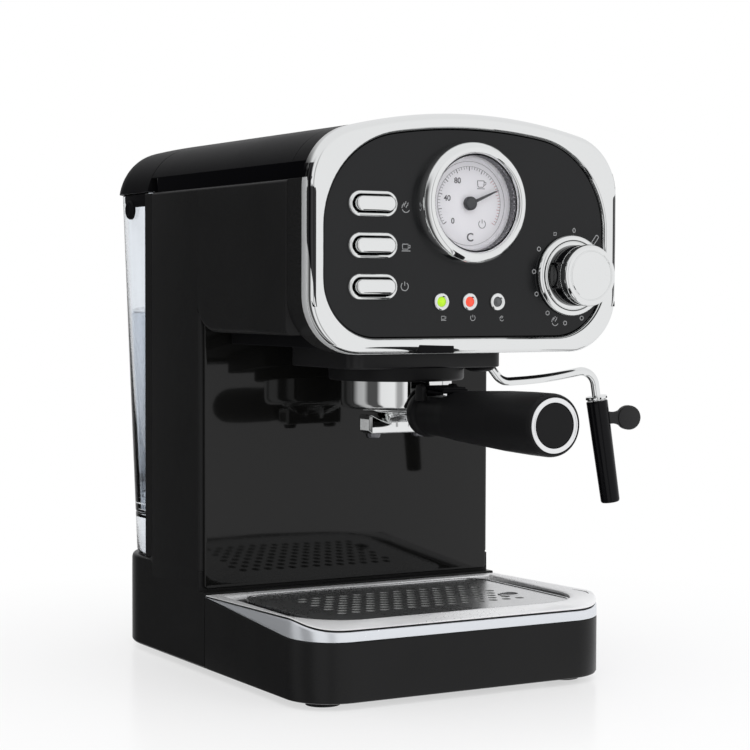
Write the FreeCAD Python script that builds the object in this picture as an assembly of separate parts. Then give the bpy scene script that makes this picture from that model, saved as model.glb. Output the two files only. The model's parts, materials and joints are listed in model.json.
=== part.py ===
import FreeCAD, Part
import math
import os

V = FreeCAD.Vector

# Espresso machine, millimetres.  +Z up, the front faces -Y, +X is to the right of a person facing it.
# Everything is drawn about the machine's centre plane (x = 0) with the counter at z = 0, and save()
# moves it so that the origin lies under the middle of the overall box.

# ---- overall sizes
BODY_WIDTH = 190.0
BODY_HEIGHT = 304.5
FRONT_Y = -98.0
REAR_Y = 165.0
WALL = 2.5
FIT = 0.3            # clearance between parts that are put together
RUN = 0.05           # radial clearance of a shaft in its bore

# ---- base, feet and drip tray
FOOT_HEIGHT = 4.5
FOOT_RADIUS = 9.0
PLATE_THICKNESS = 3.5
SKIRT_Z = 5.2
BASE_SPLIT_Y = 24.4
BASE_TOP_Z = 45.5
STEP_Z = 56.0
BASE_REAR_RADIUS = 50.0
TRAY_CORNER = 26.0
TRAY_TOP_Z = 42.3
TRAY_WALL = 2.5
BAND_THICKNESS = 2.0
BAND_FRONT_Z = 34.6
BAND_RISE = 0.073    # rise of the trim band's lower edge per millimetre towards the rear
RIM_HEIGHT = 3.4
RIM_WIDTH = 4.5
PAN_MARGIN_X = 21.0
PAN_FRONT = 16.0
PAN_REAR = 14.0
PAN_FLOOR_Z = 11.0
GRID_LAND = 5.0
GRID_THICKNESS = 1.2
GRID_HOLE_RADIUS = 2.0
GRID_PITCH = 8.6
FINGER_HOLE_RADIUS = 5.0
TONGUE_MARGIN = 7.0

# ---- column and head
COLUMN_FRONT_Y = 31.0
COLUMN_REAR_Y = 104.0
COLUMN_REAR_RADIUS = 9.0
SHELL_TOP_DROP = 35.5
HEAD_FLOOR_DROP = 114.8
HEAD_FRONT_Y = -72.8
HEAD_EDGE_RADIUS = 18.0
NOTCH_LENGTH = 34.0
NOTCH_RISE = 12.0
SPLASH_THICKNESS = 2.0
SPLASH_MARGIN = 2.5
BAND_TOP_DROP = 27.0
BAND_INSET = 3.4
COVER_INSET = 0.8
CROWN_RADIUS = 290.0
SHOULDER_RADIUS = 32.0
CHIN_RADIUS = 30.0
BEZEL_DEPTH_DROP = 124.3

# ---- front frame, bezel and control panel
BEZEL_REAR_Y = -89.7
FRAME_WALL = 3.0
FACE_OFFSET = 4.0
OPENING_SIDE = 9.5
OPENING_TOP = 8.5
OPENING_BOTTOM = 8.6
OPENING_SHOULDER = 48.0
PANEL_Y = -95.5
PANEL_THICKNESS = 2.5
BUTTON_X = -57.5
BUTTON_LENGTH = 24.0
BUTTON_HEIGHT = 8.8
BUTTON_RIM = 1.7
BUTTON_DROPS = (47.9, 69.0, 89.9)
BUTTON_TRAVEL = 2.5
GAUGE_DROP = 46.5
GAUGE_RADIUS = 31.0
DIAL_RADIUS = 24.0
NEEDLE_ANGLE = 67.0
LED_DROP = 97.5
LED_PITCH = 17.3
LED_RADIUS = 3.1
KNOB_SIDE = 30.0
KNOB_DROP = 83.5
KNOB_RING_RADIUS = 20.0
KNOB_RADIUS = 18.0
KNOB_CAP_RADIUS = 16.0
KNOB_LENGTH = 20.0
SPINDLE_RADIUS = 3.0

# ---- brewing group and portafilter
GROUP_Y = -22.0
COLLAR_DROP = 133.5
COLLAR_HALF = 48.0
COLLAR_FRONT_Y = -58.0
BOWL_RADIUS = 31.2
RING_GAP = 3.0
RING_WALL = 3.3
RING_DROP = 140.7
LUG_GAP = 0.5
BOWL_WALL = 1.6
BASKET_WALL = 0.6
BOWL_FLOOR_DROP = 156.9
HANDLE_DROP = 157.5
HANDLE_GAP = 3.8
HANDLE_END_Y = -175.0
HANDLE_NECK_RADIUS = 11.7
HANDLE_END_RADIUS = 15.75
SPOUT_DROP = 171.5
SPOUT_HALF = 20.0
SPOUT_PITCH = 29.0

# ---- steam wand
WAND_X = 38.0
WAND_Y = -48.0
WAND_REACH = 67.0
WAND_DIRECTION = -14.04
WAND_TUBE_RADIUS = 2.4
WAND_DIP_DROP = 141.5
WAND_CREST_DROP = 136.2
WAND_LEAN = 0.1517
SLEEVE_TOP_DROP = 153.0
SLEEVE_BOTTOM_DROP = 210.3
SLEEVE_TOP_RADIUS = 6.05
SLEEVE_END_RADIUS = 5.3
TAB_REACH = 17.5
TAB_RADIUS = 6.9

# ---- water tank
TANK_WALL = 2.2
TANK_TOP_DROP = 36.5
TANK_REAR_TOP_Y = 172.0
TANK_REAR_FOOT_Y = 157.0
TANK_SIDE_TOP = 2.5
TANK_SIDE_FOOT = 5.0
TANK_CORNER = 35.0
TANK_LID_DROP = 33.5
LID_REAR_Y = 174.0
LID_REAR_ROUND = 26.0
LID_HINGE_Y = 165.0
LID_HINGE_DROP = 44.0
LID_ARM_X = 30.0
VALVE_Y = 130.0
VALVE_RADIUS = 11.0

# ---- levels and places worked out from the sizes above
HALF = BODY_WIDTH / 2
CHIN_Z = BODY_HEIGHT - BEZEL_DEPTH_DROP
SHELL_TOP = BODY_HEIGHT - SHELL_TOP_DROP
HEAD_FLOOR = BODY_HEIGHT - HEAD_FLOOR_DROP
COVER_Z = BODY_HEIGHT - BAND_TOP_DROP
COLLAR_Z = BODY_HEIGHT - COLLAR_DROP
RING_Z = BODY_HEIGHT - RING_DROP
RING_BORE = BOWL_RADIUS + RING_GAP
RING_RADIUS = RING_BORE + RING_WALL
LUG_BORE = BOWL_RADIUS + LUG_GAP
BOWL_TOP = RING_Z + 4.8
BOWL_FLOOR = BODY_HEIGHT - BOWL_FLOOR_DROP
HANDLE_Z = BODY_HEIGHT - HANDLE_DROP
HANDLE_START_Y = GROUP_Y - BOWL_RADIUS - HANDLE_GAP
SPOUT_Z = BODY_HEIGHT - SPOUT_DROP
GAUGE_Z = BODY_HEIGHT - GAUGE_DROP
LED_Z = BODY_HEIGHT - LED_DROP
KNOB_X = HALF - KNOB_SIDE
KNOB_Z = BODY_HEIGHT - KNOB_DROP
PLATE_TOP = FOOT_HEIGHT + PLATE_THICKNESS
TANK_FOOT = STEP_Z + FIT
TANK_TOP = BODY_HEIGHT - TANK_TOP_DROP
LID_Z = BODY_HEIGHT - TANK_LID_DROP
LID_HINGE_Z = BODY_HEIGHT - LID_HINGE_DROP
RIM_Z = TRAY_TOP_Z + 0.5
LED_XS = (-LED_PITCH + 0.8, 0.8, LED_PITCH + 0.8)
WAND_COS = math.cos(math.radians(WAND_DIRECTION))
WAND_SIN = math.sin(math.radians(WAND_DIRECTION))
SLEEVE_TOP_Z = BODY_HEIGHT - SLEEVE_TOP_DROP
SLEEVE_END_Z = BODY_HEIGHT - SLEEVE_BOTTOM_DROP
WAND_CREST_Z = BODY_HEIGHT - WAND_CREST_DROP
WAND_DIP_Z = BODY_HEIGHT - WAND_DIP_DROP
TAB_Z = SLEEVE_TOP_Z - 9.8


def wand_s(z):
    """Distance of the sleeve's axis from the wand's swivel axis at height z."""
    return WAND_REACH + WAND_LEAN * (WAND_CREST_Z - z)


TAB_TIP_S = wand_s(TAB_Z) + TAB_REACH + TAB_RADIUS
RIGHT_X = WAND_X + TAB_TIP_S * WAND_COS
ORIGIN = V((RIGHT_X - HALF) / 2, (HANDLE_END_Y + LID_REAR_Y) / 2, 0)


# ---- shape helpers
def box(x0, x1, y0, y1, z0, z1):
    return Part.makeBox(x1 - x0, y1 - y0, z1 - z0, V(x0, y0, z0))


def cyl_z(x, y, z0, z1, r):
    return Part.makeCylinder(r, z1 - z0, V(x, y, z0), V(0, 0, 1))


def cyl_y(x, z, y0, y1, r):
    return Part.makeCylinder(r, y1 - y0, V(x, y0, z), V(0, 1, 0))


def cyl_x(y, z, x0, x1, r):
    return Part.makeCylinder(r, x1 - x0, V(x0, y, z), V(1, 0, 0))


def place(plane, a, b, at):
    """A point of a flat outline: plane names the two axes that a and b run along."""
    if plane == "xy":
        return V(a, b, at)
    if plane == "xz":
        return V(a, at, b)
    return V(at, a, b)


def rounded_wire(points, plane, at):
    """Closed outline through (a, b, radius) corners, each corner a tangent arc."""
    edges = []
    ends = []
    count = len(points)
    for i, (a, b, radius) in enumerate(points):
        corner = V(a, b, 0)
        before = V(points[i - 1][0], points[i - 1][1], 0) - corner
        after = V(points[(i + 1) % count][0], points[(i + 1) % count][1], 0) - corner
        before.normalize()
        after.normalize()
        if radius <= 0:
            ends.append((corner, None, corner))
            continue
        half = before.getAngle(after) / 2
        reach = radius / math.tan(half)
        middle = before + after
        middle.normalize()
        top = corner + middle * (radius / math.sin(half) - radius)
        ends.append((corner + before * reach, top, corner + after * reach))
    for i, (start, top, end) in enumerate(ends):
        p0 = place(plane, start.x, start.y, at)
        p2 = place(plane, end.x, end.y, at)
        if top is not None:
            edges.append(Part.Arc(p0, place(plane, top.x, top.y, at), p2).toShape())
        following = ends[(i + 1) % count][0]
        p3 = place(plane, following.x, following.y, at)
        if p2.distanceToPoint(p3) > 1e-6:
            edges.append(Part.LineSegment(p2, p3).toShape())
    return Part.Wire(edges)


def prism(points, plane, low, high):
    """Rounded outline pushed along the axis that its plane leaves out."""
    push = {"xy": V(0, 0, 1), "xz": V(0, 1, 0), "yz": V(1, 0, 0)}[plane]
    face = Part.Face(rounded_wire(points, plane, low))
    return face.extrude(push * (high - low))


def rounded_box(x0, x1, y0, y1, z0, z1, r_front, r_rear):
    """Upright block with its own corner radius at the front and at the rear."""
    corners = [(x0, y0, r_front), (x1, y0, r_front), (x1, y1, r_rear), (x0, y1, r_rear)]
    return prism(corners, "xy", z0, z1)


def shield_wire(y, half, low, high, crown, shoulder, chin):
    """Outline of the machine's face: arched top, rounded shoulders, straight sides, rounded chin."""
    arch_z = high - crown
    cx = half - shoulder
    cz = arch_z + math.sqrt((crown - shoulder) ** 2 - cx ** 2)
    grow = crown / (crown - shoulder)
    tx = cx * grow
    tz = arch_z + (cz - arch_z) * grow
    bend = math.atan2(cz - arch_z, cx) / 2
    mx = cx + shoulder * math.cos(bend)
    mz = cz + shoulder * math.sin(bend)
    bx = half - chin
    bz = low + chin
    dx = bx + chin * math.cos(math.pi / 4)
    dz = bz - chin * math.sin(math.pi / 4)
    edges = [
        Part.Arc(V(-tx, y, tz), V(0, y, high), V(tx, y, tz)).toShape(),
        Part.Arc(V(tx, y, tz), V(mx, y, mz), V(half, y, cz)).toShape(),
        Part.LineSegment(V(half, y, cz), V(half, y, bz)).toShape(),
        Part.Arc(V(half, y, bz), V(dx, y, dz), V(bx, y, low)).toShape(),
        Part.LineSegment(V(bx, y, low), V(-bx, y, low)).toShape(),
        Part.Arc(V(-bx, y, low), V(-dx, y, dz), V(-half, y, bz)).toShape(),
        Part.LineSegment(V(-half, y, bz), V(-half, y, cz)).toShape(),
        Part.Arc(V(-half, y, cz), V(-mx, y, mz), V(-tx, y, tz)).toShape(),
    ]
    return Part.Wire(edges)


def face_wire(y, inset):
    """The bezel's outer outline, drawn in by inset."""
    return shield_wire(y, HALF - inset, CHIN_Z + inset, BODY_HEIGHT - inset,
                       CROWN_RADIUS - inset, SHOULDER_RADIUS - inset, CHIN_RADIUS - inset)


def opening_wire(y, inset):
    """The bezel's inner outline, drawn in by inset."""
    high = BODY_HEIGHT - OPENING_TOP - inset
    return shield_wire(y, HALF - OPENING_SIDE - inset, CHIN_Z + OPENING_BOTTOM + inset, high,
                       CROWN_RADIUS - OPENING_TOP - inset, OPENING_SHOULDER - inset, CHIN_RADIUS - inset)


def wire_prism(wire, y0, y1):
    return Part.Face(wire).extrude(V(0, y1 - y0, 0))


def face_prism(y0, y1, inset):
    return wire_prism(face_wire(y0, inset), y0, y1)


def opening_prism(y0, y1, inset):
    return wire_prism(opening_wire(y0, inset), y0, y1)


def turned(points, centre, axis):
    """Solid of revolution from (radius, distance) corners, distance measured along axis from centre."""
    corners = []
    for radius, along in points:
        if axis == "z":
            corners.append(V(centre.x + radius, centre.y, centre.z + along))
        else:
            corners.append(V(centre.x + radius, centre.y + along, centre.z))
    wire = Part.makePolygon(corners + [corners[0]])
    direction = V(0, 0, 1) if axis == "z" else V(0, 1, 0)
    return Part.Face(wire).revolve(centre, direction, 360)


def pill(x, z, length, height, y0, y1):
    """Long button shape with round ends, lying in the panel."""
    a = length / 2
    b = height / 2
    r = b - 0.01
    points = [(x - a, z - b, r), (x + a, z - b, r), (x + a, z + b, r), (x - a, z + b, r)]
    return prism(points, "xz", y0, y1)


def bent_rod(points, radius, bend):
    """Round rod along straight runs joined by tangent arcs of radius bend."""
    edges = []
    here = points[0]
    for i in range(1, len(points) - 1):
        corner = points[i]
        before = points[i - 1] - corner
        after = points[i + 1] - corner
        before.normalize()
        after.normalize()
        half = before.getAngle(after) / 2
        reach = bend / math.tan(half)
        middle = before + after
        middle.normalize()
        start = corner + before * reach
        end = corner + after * reach
        top = corner + middle * (bend / math.sin(half) - bend)
        edges.append(Part.LineSegment(here, start).toShape())
        edges.append(Part.Arc(start, top, end).toShape())
        here = end
    edges.append(Part.LineSegment(here, points[-1]).toShape())
    path = Part.Wire(edges)
    direction = points[1] - points[0]
    ring = Part.Wire([Part.Circle(points[0], direction, radius).toShape()])
    return path.makePipeShell([ring], True, False)


def union(shapes):
    result = shapes[0].multiFuse(shapes[1:])
    return result.removeSplitter()


def save(name, shapes):
    """Write one sub-part, moved so that the origin lies under the middle of the overall box."""
    if not isinstance(shapes, list):
        shapes = [shapes]
    solids = []
    for shape in shapes:
        solids.extend(shape.Solids)
    for solid in solids:
        if not solid.isValid() or solid.Volume <= 0:
            print("check", name, solid.isValid(), solid.Volume)
    whole = solids[0] if len(solids) == 1 else Part.makeCompound(solids)
    moved = whole.translated(ORIGIN * -1)
    moved.exportStep("parts/" + name + ".step")


# ---- base
SCREW_REAR_X = 38.0
SCREW_SIDE_Y = 52.0
SCREW_RADIUS = 1.9
BOSS_RADIUS = 5.0


def foot_places():
    side = HALF - 20
    rear = HALF - 35
    return [(-side, FRONT_Y + 22), (side, FRONT_Y + 22), (-rear, REAR_Y - 26), (rear, REAR_Y - 26)]


def screw_places():
    side = HALF - WALL - BOSS_RADIUS + 0.5
    rear = REAR_Y - WALL - BOSS_RADIUS + 0.5
    return [(-side, SCREW_SIDE_Y), (side, SCREW_SIDE_Y), (-SCREW_REAR_X, rear), (SCREW_REAR_X, rear)]


def rubber_feet():
    feet = []
    for x, y in foot_places():
        foot = cyl_z(x, y, 0, FOOT_HEIGHT, FOOT_RADIUS)
        feet.append(foot.makeChamfer(1.0, [foot.Edges[0]]))
    return feet


def base_plate():
    rear = rounded_box(-HALF + WALL + FIT, HALF - WALL - FIT, BASE_SPLIT_Y + WALL + FIT, REAR_Y - WALL - FIT,
                       FOOT_HEIGHT, PLATE_TOP, 3, BASE_REAR_RADIUS - WALL - FIT)
    side = HALF - TONGUE_MARGIN
    tongue = rounded_box(-side, side, FRONT_Y + 10, BASE_SPLIT_Y + 20, FOOT_HEIGHT, PLATE_TOP, 18, 2)
    plate = union([rear, tongue])
    for x, y in screw_places():
        plate = plate.cut(cyl_z(x, y, FOOT_HEIGHT - 1, PLATE_TOP + 1, SCREW_RADIUS + FIT))
        plate = plate.cut(cyl_z(x, y, FOOT_HEIGHT - 1, FOOT_HEIGHT + 2, SCREW_RADIUS * 2 + FIT))
    return plate


def chassis_screws():
    screws = []
    for x, y in screw_places():
        shaft = cyl_z(x, y, FOOT_HEIGHT + 1, PLATE_TOP + 14, SCREW_RADIUS)
        head = cyl_z(x, y, FOOT_HEIGHT + 0.1, FOOT_HEIGHT + 2, SCREW_RADIUS * 2)
        screws.append(union([shaft, head]))
    bottom = COLLAR_Z - 5.5
    shaft = cyl_z(0, GROUP_Y, bottom + 1, COLLAR_Z + 1, 1.9)
    head = cyl_z(0, GROUP_Y, bottom - 1.5, bottom, 3.6)
    screws.append(union([shaft, cyl_z(0, GROUP_Y, bottom - 0.2, bottom + 1.2, 1.9), head]))
    return screws


def base_outer(inset, z0, z1, front):
    side = HALF - inset
    return rounded_box(-side, side, front, REAR_Y - inset, z0, z1, 1, BASE_REAR_RADIUS - inset)


def body_shell():
    base = base_outer(0, SKIRT_Z, STEP_Z, BASE_SPLIT_Y)
    base = base.cut(box(-HALF - 1, HALF + 1, BASE_SPLIT_Y - 1, COLUMN_FRONT_Y + 4, BASE_TOP_Z, STEP_Z + 1))
    column = rounded_box(-HALF, HALF, COLUMN_FRONT_Y, COLUMN_REAR_Y, SKIRT_Z, SHELL_TOP,
                         5, COLUMN_REAR_RADIUS)
    head_rear = COLUMN_FRONT_Y + 30
    head = head_prism(HEAD_FRONT_Y, head_rear, 0)
    head = head.common(box(-HALF, HALF, HEAD_FRONT_Y, head_rear, HEAD_FLOOR, SHELL_TOP))
    head = head.cut(notch())
    outer = union([base, column, head])
    base_hollow = base_outer(WALL, SKIRT_Z - 1, STEP_Z - WALL, BASE_SPLIT_Y + WALL)
    base_hollow = base_hollow.cut(box(-HALF, HALF, BASE_SPLIT_Y, COLUMN_FRONT_Y + WALL,
                                      BASE_TOP_Z - WALL, STEP_Z))
    column_hollow = rounded_box(-HALF + WALL, HALF - WALL, COLUMN_FRONT_Y + WALL, COLUMN_REAR_Y - WALL,
                                SKIRT_Z - 1, SHELL_TOP + 1, 2.5, COLUMN_REAR_RADIUS - WALL)
    head_hollow = head_prism(HEAD_FRONT_Y - 1, head_rear + 6, WALL)
    head_hollow = head_hollow.common(box(-HALF, HALF, HEAD_FRONT_Y - 1, head_rear + 6,
                                         HEAD_FLOOR + WALL + NOTCH_RISE, SHELL_TOP + 1))
    front_hollow = head_prism(HEAD_FRONT_Y - 1, COLUMN_FRONT_Y - NOTCH_LENGTH - WALL, WALL)
    front_hollow = front_hollow.common(box(-HALF, HALF, HEAD_FRONT_Y - 1, COLUMN_FRONT_Y,
                                           HEAD_FLOOR + WALL, SHELL_TOP + 1))
    shell = outer.cut([base_hollow, column_hollow, head_hollow, front_hollow])
    shell = shell.cut(cyl_z(0, GROUP_Y, HEAD_FLOOR - 1, HEAD_FLOOR + WALL, BOWL_RADIUS + FIT))
    shell = shell.cut(cyl_z(0, GROUP_Y, HEAD_FLOOR + WALL, SHELL_TOP, BOWL_RADIUS + 4 + FIT))
    shell = shell.cut(cyl_z(WAND_X, WAND_Y, HEAD_FLOOR - 1, HEAD_FLOOR + WALL + 1, 5))
    shell = shell.cut(cyl_z(0, VALVE_Y, STEP_Z - WALL - 1, STEP_Z + 1, VALVE_RADIUS + 3 + FIT))
    shell = shell.cut(cyl_y(GLAND_X, GLAND_Z, REAR_Y - 10, REAR_Y + 1, GLAND_RADIUS + FIT))
    side = HALF - TONGUE_MARGIN + 0.5
    shell = shell.cut(box(-side, side, BASE_SPLIT_Y - 1, BASE_SPLIT_Y + WALL + 1,
                          SKIRT_Z - 1, PLATE_TOP + FIT))
    bosses = [cyl_z(x, y, PLATE_TOP + FIT, PLATE_TOP + 16, BOSS_RADIUS) for x, y in screw_places()]
    shell = union([shell, top_band()] + bosses)
    for x, y in screw_places():
        shell = shell.cut(cyl_z(x, y, PLATE_TOP, PLATE_TOP + 15, SCREW_RADIUS + 0.05))
    return shell


def head_prism(y0, y1, inset):
    """The head's cross-section, rounded along its lower side edges and drawn in by inset."""
    wire = shield_wire(y0, HALF - inset, HEAD_FLOOR + inset, BODY_HEIGHT - inset,
                       CROWN_RADIUS - inset, SHOULDER_RADIUS - inset, HEAD_EDGE_RADIUS - inset)
    return wire_prism(wire, y0, y1)


def notch():
    """Space cleared where the head's underside sweeps up to the column's front."""
    y0 = COLUMN_FRONT_Y - NOTCH_LENGTH
    mid = V(0, COLUMN_FRONT_Y - NOTCH_LENGTH * 0.3, HEAD_FLOOR + NOTCH_RISE * 0.3)
    edges = [
        Part.LineSegment(V(0, y0, HEAD_FLOOR - 1), V(0, y0, HEAD_FLOOR)).toShape(),
        Part.Arc(V(0, y0, HEAD_FLOOR), mid, V(0, COLUMN_FRONT_Y, HEAD_FLOOR + NOTCH_RISE)).toShape(),
        Part.LineSegment(V(0, COLUMN_FRONT_Y, HEAD_FLOOR + NOTCH_RISE),
                         V(0, COLUMN_FRONT_Y, HEAD_FLOOR - 1)).toShape(),
        Part.LineSegment(V(0, COLUMN_FRONT_Y, HEAD_FLOOR - 1), V(0, y0, HEAD_FLOOR - 1)).toShape(),
    ]
    half = HALF + 1
    solid = Part.Face(Part.Wire(edges)).extrude(V(half * 2, 0, 0))
    return solid.translated(V(-half, 0, 0))


def splash_panel():
    side = HALF - SPLASH_MARGIN
    corners = [(-side, BASE_TOP_Z + 1.5, 2), (side, BASE_TOP_Z + 1.5, 2),
               (side, HEAD_FLOOR + NOTCH_RISE - 4, 2), (-side, HEAD_FLOOR + NOTCH_RISE - 4, 2)]
    return prism(corners, "xz", COLUMN_FRONT_Y - SPLASH_THICKNESS, COLUMN_FRONT_Y)


# ---- cord gland at the rear of the base
GLAND_X = 15.0
GLAND_Z = 24.0
GLAND_RADIUS = 6.0


def cord_gland():
    barrel = cyl_y(GLAND_X, GLAND_Z, REAR_Y - 12, REAR_Y + 2.5, GLAND_RADIUS)
    flange = cyl_y(GLAND_X, GLAND_Z, REAR_Y, REAR_Y + 2.5, GLAND_RADIUS + 3)
    nut = cyl_y(GLAND_X, GLAND_Z, REAR_Y - WALL - 4, REAR_Y - WALL, GLAND_RADIUS + 3)
    return union([barrel, flange, nut]).cut(cyl_y(GLAND_X, GLAND_Z, REAR_Y - 13, REAR_Y + 3, 3.6))


# ---- drip tray
def tray_outer(inset, z0, z1):
    return rounded_box(-HALF + inset, HALF - inset, FRONT_Y + inset, BASE_SPLIT_Y - FIT - inset * 0.5,
                       z0, z1, TRAY_CORNER - inset, 1)


def band_space(grow):
    """The wedge round the tray that the trim band fills, from its sloping lower edge upwards."""
    y_front = FRONT_Y - 5
    y_back = BASE_SPLIT_Y + 5
    z_front = BAND_FRONT_Z + BAND_RISE * (y_front - FRONT_Y) - grow
    z_back = BAND_FRONT_Z + BAND_RISE * (y_back - FRONT_Y) - grow
    top = RIM_Z + 10
    corners = [(y_front, z_front, 0), (y_back, z_back, 0), (y_back, top, 0), (y_front, top, 0)]
    wedge = prism(corners, "yz", -HALF - 5, HALF + 5)
    core = rounded_box(-HALF + BAND_THICKNESS + grow, HALF - BAND_THICKNESS - grow,
                       FRONT_Y + BAND_THICKNESS + grow, BASE_SPLIT_Y + 10,
                       BAND_FRONT_Z - 5, top + 1, TRAY_CORNER - BAND_THICKNESS - grow, 1)
    return wedge.cut(core)


def pan_block(grow, z0, z1):
    return rounded_box(-HALF + PAN_MARGIN_X - grow, HALF - PAN_MARGIN_X + grow, FRONT_Y + PAN_FRONT - grow,
                       BASE_SPLIT_Y - PAN_REAR + grow, z0, z1, 12 + grow, 12 + grow)


def tray_housing():
    outer = tray_outer(0, SKIRT_Z, TRAY_TOP_Z)
    under = tray_outer(TRAY_WALL, SKIRT_Z - 1, TRAY_TOP_Z - TRAY_WALL)
    under = under.cut(pan_block(TRAY_WALL, PAN_FLOOR_Z - TRAY_WALL, TRAY_TOP_Z))
    housing = outer.cut(under)
    housing = housing.cut(pan_block(0, PAN_FLOOR_Z, TRAY_TOP_Z + 1))
    side = HALF - TONGUE_MARGIN + 1
    passage = box(-side, side, BASE_SPLIT_Y - 10, BASE_SPLIT_Y + 5, SKIRT_Z - 1, PLATE_TOP + 0.5)
    return housing.cut([passage, band_space(0.05)])


def tray_trim_band():
    ring = tray_outer(0, SKIRT_Z, TRAY_TOP_Z)
    return ring.common(band_space(0))


def tray_rim():
    outer = tray_outer(0.3, RIM_Z - 0.5, RIM_Z + RIM_HEIGHT - 0.2)
    inner = rounded_box(-HALF + RIM_WIDTH, HALF - RIM_WIDTH, FRONT_Y + RIM_WIDTH, BASE_SPLIT_Y - RIM_WIDTH,
                        RIM_Z - 1, RIM_Z + RIM_HEIGHT + 1, TRAY_CORNER - RIM_WIDTH, 2)
    rim = outer.cut(inner)
    top = [e for e in rim.Edges if abs(e.BoundBox.ZMin - (RIM_Z + RIM_HEIGHT - 0.2)) < 0.01
           and e.BoundBox.ZLength < 0.01]
    return rim.makeFillet(1.2, top)


def grid_extent():
    x = HALF - PAN_MARGIN_X + GRID_LAND
    return x, FRONT_Y + PAN_FRONT - GRID_LAND, BASE_SPLIT_Y - PAN_REAR + GRID_LAND


def drip_grid():
    x, y0, y1 = grid_extent()
    plate = rounded_box(-x, x, y0, y1, TRAY_TOP_Z, TRAY_TOP_Z + GRID_THICKNESS, 14, 14)
    lip = pan_block(-0.6, TRAY_TOP_Z - 6, TRAY_TOP_Z).cut(pan_block(-1.8, TRAY_TOP_Z - 7, TRAY_TOP_Z + 1))
    grid = union([plate, lip])
    holes = []
    field = GRID_LAND + 13
    rows = int((y1 - y0 - 2 * field) / (GRID_PITCH * 0.866))
    columns = int((2 * x - 2 * field) / GRID_PITCH)
    y_first = (y0 + y1) / 2 - rows * GRID_PITCH * 0.433
    for row in range(rows + 1):
        shift = GRID_PITCH / 2 if row % 2 else 0.0
        for column in range(columns + 1 - row % 2):
            hx = (column - columns / 2) * GRID_PITCH + shift
            hy = y_first + row * GRID_PITCH * 0.866
            if math.hypot(hx - FINGER_X, hy - FINGER_Y) > FINGER_HOLE_RADIUS + GRID_HOLE_RADIUS + 2:
                holes.append(cyl_z(hx, hy, TRAY_TOP_Z - 1, TRAY_TOP_Z + 3, GRID_HOLE_RADIUS))
    holes.append(cyl_z(FINGER_X, FINGER_Y, TRAY_TOP_Z - 1, TRAY_TOP_Z + 3, FINGER_HOLE_RADIUS))
    return grid.cut(Part.makeCompound(holes))


FINGER_X = HALF - 37.0
FINGER_Y = FRONT_Y + 50.0


# ---- top of the machine
def top_band():
    z1 = COVER_Z
    outer = rounded_box(-HALF + BAND_INSET, HALF - BAND_INSET, HEAD_FRONT_Y, COLUMN_REAR_Y - 1,
                        SHELL_TOP, z1, 1, COLUMN_REAR_RADIUS - 1)
    inner = rounded_box(-HALF + BAND_INSET + 3, HALF - BAND_INSET - 3, HEAD_FRONT_Y + 3, COLUMN_REAR_Y - 4,
                        SHELL_TOP - 1, z1 + 1, 1, COLUMN_REAR_RADIUS - 4)
    return outer.cut(inner)


def cover_section(y0, y1, inset, z0):
    section = face_prism(y0, y1, COVER_INSET + inset)
    return section.common(box(-HALF, HALF, y0, y1, z0, BODY_HEIGHT + 1))


def top_cover():
    rear = COLUMN_REAR_Y - 0.2
    outer = cover_section(HEAD_FRONT_Y, rear, 0, COVER_Z)
    inner = cover_section(HEAD_FRONT_Y + WALL, rear - WALL, WALL, COVER_Z - 1)
    return outer.cut(inner)


def lid_block(inset, z0):
    y0 = COLUMN_REAR_Y + 0.3 + inset
    y1 = LID_REAR_Y - inset
    section = cover_section(y0, y1, inset, z0)
    plan = rounded_box(-HALF, HALF, y0, y1, z0, BODY_HEIGHT, 0, TANK_CORNER - inset)
    crown = BODY_HEIGHT - COVER_INSET - inset
    side = [(y0, z0, 0), (y1, z0, 0), (y1, crown, LID_REAR_ROUND - inset), (y0, crown, 0)]
    return section.common(plan).common(prism(side, "yz", -HALF, HALF))


def tank_lid():
    lid = lid_block(0, LID_Z).cut(lid_block(WALL, LID_Z - 1))
    arms = []
    for x in (-LID_ARM_X, LID_ARM_X):
        arm = box(x - 3, x + 3, LID_HINGE_Y - 4, LID_HINGE_Y + 4, LID_HINGE_Z, BODY_HEIGHT - 16)
        knuckle = cyl_x(LID_HINGE_Y, LID_HINGE_Z, x - 3, x + 3, 4)
        arms.append(union([arm, knuckle]).common(lid_block(0.5, LID_HINGE_Z - 6)))
    lid = union([lid] + arms)
    for x in (-LID_ARM_X, LID_ARM_X):
        lid = lid.cut(cyl_x(LID_HINGE_Y, LID_HINGE_Z, x - 5, x + 5, 1.5 + RUN))
    return lid


# ---- water tank
def tank_wire(z, inset):
    share = (z - TANK_FOOT) / (TANK_TOP - TANK_FOOT)
    half = HALF - TANK_SIDE_FOOT + (TANK_SIDE_FOOT - TANK_SIDE_TOP) * share - inset
    rear = TANK_REAR_FOOT_Y + (TANK_REAR_TOP_Y - TANK_REAR_FOOT_Y) * share - inset
    front = COLUMN_REAR_Y + 0.8 + inset
    radius = TANK_CORNER - inset
    corners = [(-half, front, 3), (half, front, 3), (half, rear, radius), (-half, rear, radius)]
    return rounded_wire(corners, "xy", z)


def tank_loft(inset, z0, z1):
    return Part.makeLoft([tank_wire(z0, inset), tank_wire(z1, inset)], True, True)


def lid_hinge_lugs():
    lugs = []
    for x in (-LID_ARM_X, LID_ARM_X):
        for side in (-1, 1):
            near = x + side * 3.4
            far = x + side * 6.4
            low, high = min(near, far), max(near, far)
            lug = box(low, high, LID_HINGE_Y - 3, TANK_REAR_TOP_Y - 1.6, LID_HINGE_Z - 7, LID_HINGE_Z + 3)
            lugs.append(lug)
    return lugs


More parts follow.
